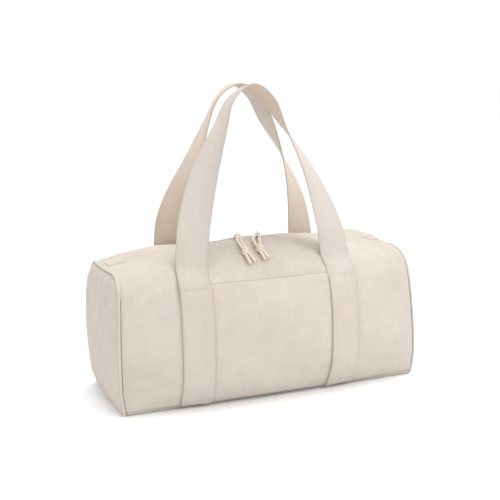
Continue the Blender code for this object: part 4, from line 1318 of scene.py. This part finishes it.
def make_pull(word, slider_x, lay_places):
    """Both strands of a knotted pull, its knot and its cut tail ends."""
    halves, knot_place = pull_halves(slider_x, lay_places)
    body = word + "_pull"
    knot = make_knot(word + "_knot", halves, knot_place, body)
    lay = strand_radius(sizes().cord)
    for half, path in zip(("lower", "upper"), halves):
        length = path_length(path)

        def frayed(spot, angle, reach=length):
            tail = max(0.0, 1.0 - (reach - spot) / 0.0035)
            full = PINCH_AT_BAR + (1.0 - PINCH_AT_BAR) * smooth((spot - 0.006) / 0.012)
            return lay(spot, angle) * full * (1.0 + 0.28 * tail * abs(math.sin(5 * angle)))

        builder = tube(path, frayed, 18)
        piece = make_piece(word + "_" + half + "_strand", builder, "pull_cord", body)
        if half == "upper":
            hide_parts(word + "_pull")
        tuple(path[0])
        [tuple(point) for point in path]


# Stage


def set_camera():
    """Camera at the photograph's angle."""
    level = math.cos(CAMERA_ELEVATION)
    turned = (math.sin(CAMERA_AZIMUTH) * level, -math.cos(CAMERA_AZIMUTH) * level)
    back = Vector((*turned, math.sin(CAMERA_ELEVATION)))
    right = Vector((math.cos(CAMERA_AZIMUTH), math.sin(CAMERA_AZIMUTH), 0.0))
    up = back.cross(right)
    turned_right = right * math.cos(CAMERA_ROLL) + up * math.sin(CAMERA_ROLL)
    turned_up = up * math.cos(CAMERA_ROLL) - right * math.sin(CAMERA_ROLL)
    lens = bpy.data.cameras.new("photo_camera")
    lens.lens = CAMERA_LENS
    lens.sensor_width = CAMERA_SENSOR
    camera = placed("photo_camera", lens)
    turn = Matrix((turned_right, turned_up, back)).transposed().to_4x4()
    camera.matrix_world = Matrix.Translation(Vector(CAMERA_TARGET) + back * CAMERA_DISTANCE) @ turn
    bpy.context.scene.camera = camera


def add_light(name, place, aim, size, power, colour):
    """A large soft light that looks at a point."""
    lamp = bpy.data.lights.new(name, "AREA")
    lamp.shape = "DISK"
    lamp.size = size
    lamp.energy = power
    lamp.color = colour
    made = placed(name, lamp)
    made.location = place
    made.rotation_euler = (Vector(aim) - Vector(place)).to_track_quat("-Z", "Y").to_euler()


def set_world():
    """Even white surroundings."""
    world = bpy.data.worlds.new("studio_white")
    world.use_nodes = True
    inputs = world.node_tree.nodes["Background"].inputs
    inputs["Color"].default_value = (1.0, 1.0, 1.0, 1.0)
    inputs["Strength"].default_value = 1.0
    bpy.context.scene.world = world
    bpy.context.scene.view_settings.view_transform = "Standard"


class BAG_OT_panels(bpy.types.Operator):
    """Drapes the front and back panels and the base"""

    bl_idname = "bag.panels"
    bl_label = "Panels and base"

    def execute(self, context):
        make_body_panel("front_panel", FRONT)
        make_body_panel("back_panel", BACK)
        make_base("base_panel")
        return {"FINISHED"}


class BAG_OT_ends(bpy.types.Operator):
    """Makes the two end panels and their piping"""

    bl_idname = "bag.ends"
    bl_label = "Ends and piping"

    def execute(self, context):
        for word, side in (("left", LEFT), ("right", RIGHT)):
            make_end_panel(word + "_end_panel", side)
            make_piping(word + "_end_piping", side)
        return {"FINISHED"}


class BAG_OT_bindings(bpy.types.Operator):
    """Gives the seam bindings inside the bag their woven finish"""

    bl_idname = "bag.bindings"
    bl_label = "Seam bindings"

    def execute(self, context):
        finish = finish_named("inner_tape")
        for name in ("left_end", "right_end", "front_base", "back_base"):
            materials = bpy.data.objects[name + "_binding"].data.materials
            materials.clear()
            materials.append(finish)
        return {"FINISHED"}


class BAG_OT_pocket(bpy.types.Operator):
    """Makes the slip pocket with its stitched hem"""

    bl_idname = "bag.pocket"
    bl_label = "Slip pocket"

    def execute(self, context):
        make_pocket("front_pocket")
        return {"FINISHED"}


class BAG_OT_straps(bpy.types.Operator):
    """Makes the two carrying straps with their stitching"""

    bl_idname = "bag.straps"
    bl_label = "Carrying straps"

    def execute(self, context):
        front = loop_line(FRONT, FRONT_LEFT_LEG, FRONT_RIGHT_LEG, FRONT_LOOP_RISE)
        make_strap("front", FRONT, *front)
        back = loop_line(BACK, BACK_LEFT_LEG, BACK_RIGHT_LEG, BACK_LOOP_RISE)
        make_strap("back", BACK, *back)
        return {"FINISHED"}


class BAG_OT_zip(bpy.types.Operator):
    """Makes the zip with its tapes, teeth, end tabs, sliders and topstitching"""

    bl_idname = "bag.zip"
    bl_label = "Zip"

    def execute(self, context):
        for word, side in (("front", FRONT), ("back", BACK)):
            make_tape(word + "_zip_tape", side)
            make_teeth(word + "_zip_coil", side)
            make_mouth_stitches(word + "_zip_stitches", side)
        make_tab("left_zip_tab", LEFT)
        make_tab("right_zip_tab", RIGHT)
        make_slider("left", LEFT_SLIDER_X)
        make_slider("right", RIGHT_SLIDER_X)
        return {"FINISHED"}


class BAG_OT_pulls(bpy.types.Operator):
    """Makes the two knotted cord pulls"""

    bl_idname = "bag.pulls"
    bl_label = "Cord pulls"

    def execute(self, context):
        make_pull("left", LEFT_SLIDER_X, LEFT_PULL_LAY)
        make_pull("right", RIGHT_SLIDER_X, RIGHT_PULL_LAY)
        return {"FINISHED"}


class BAG_OT_stage(bpy.types.Operator):
    """Sets the pale floor, the soft lights and the camera"""

    bl_idname = "bag.stage"
    bl_label = "Stage"

    def execute(self, context):
        builder = bmesh.new()
        bmesh.ops.create_circle(builder, cap_ends=True, segments=96, radius=FLOOR_RADIUS)
        floor = make_piece("studio_floor", builder, "studio_floor", None, lambda made: True)
        set_world()
        aim = (0.0, 0.0, 0.15)
        add_light("key_light", (1.0, -1.15, 1.35), aim, 0.7, 6.8, (1.0, 0.985, 0.965))
        add_light("top_light", (0.1, 0.3, 2.6), aim, 1.6, 29.0, (0.95, 0.975, 1.0))
        set_camera()
        return {"FINISHED"}


class BAG_PT_panel(bpy.types.Panel):
    """Lists the bag's sizes, colours and steps."""

    bl_idname = "BAG_PT_panel"
    bl_label = "Travel bag"
    bl_space_type = "VIEW_3D"
    bl_region_type = "UI"
    bl_category = "Bag"

    def draw(self, context):
        for group in (context.scene.bag_sizes, context.scene.bag_colours):
            for key in group.__annotations__:
                self.layout.prop(group, key)
        for step in STEPS:
            self.layout.operator(step.bl_idname)


STEPS = (
    BAG_OT_stage,
    BAG_OT_pulls,
    BAG_OT_panels,
    BAG_OT_ends,
    BAG_OT_bindings,
    BAG_OT_pocket,
    BAG_OT_straps,
    BAG_OT_zip,
)
CLASSES = (BagSizes, BagColours, *STEPS, BAG_PT_panel)


def register():
    for item in CLASSES:
        bpy.utils.register_class(item)
    bpy.types.Scene.bag_sizes = bpy.props.PointerProperty(type=BagSizes)
    bpy.types.Scene.bag_colours = bpy.props.PointerProperty(type=BagColours)


def unregister():
    del bpy.types.Scene.bag_colours
    del bpy.types.Scene.bag_sizes
    for item in reversed(CLASSES):
        bpy.utils.unregister_class(item)


def main():
    register()
    bpy.ops.bag.stage()
    bpy.ops.bag.pulls()
    bpy.ops.bag.panels()
    bpy.ops.bag.ends()
    bpy.ops.bag.bindings()
    bpy.ops.bag.pocket()
    bpy.ops.bag.straps()
    bpy.ops.bag.zip()


if __name__ == "__main__":
    main()
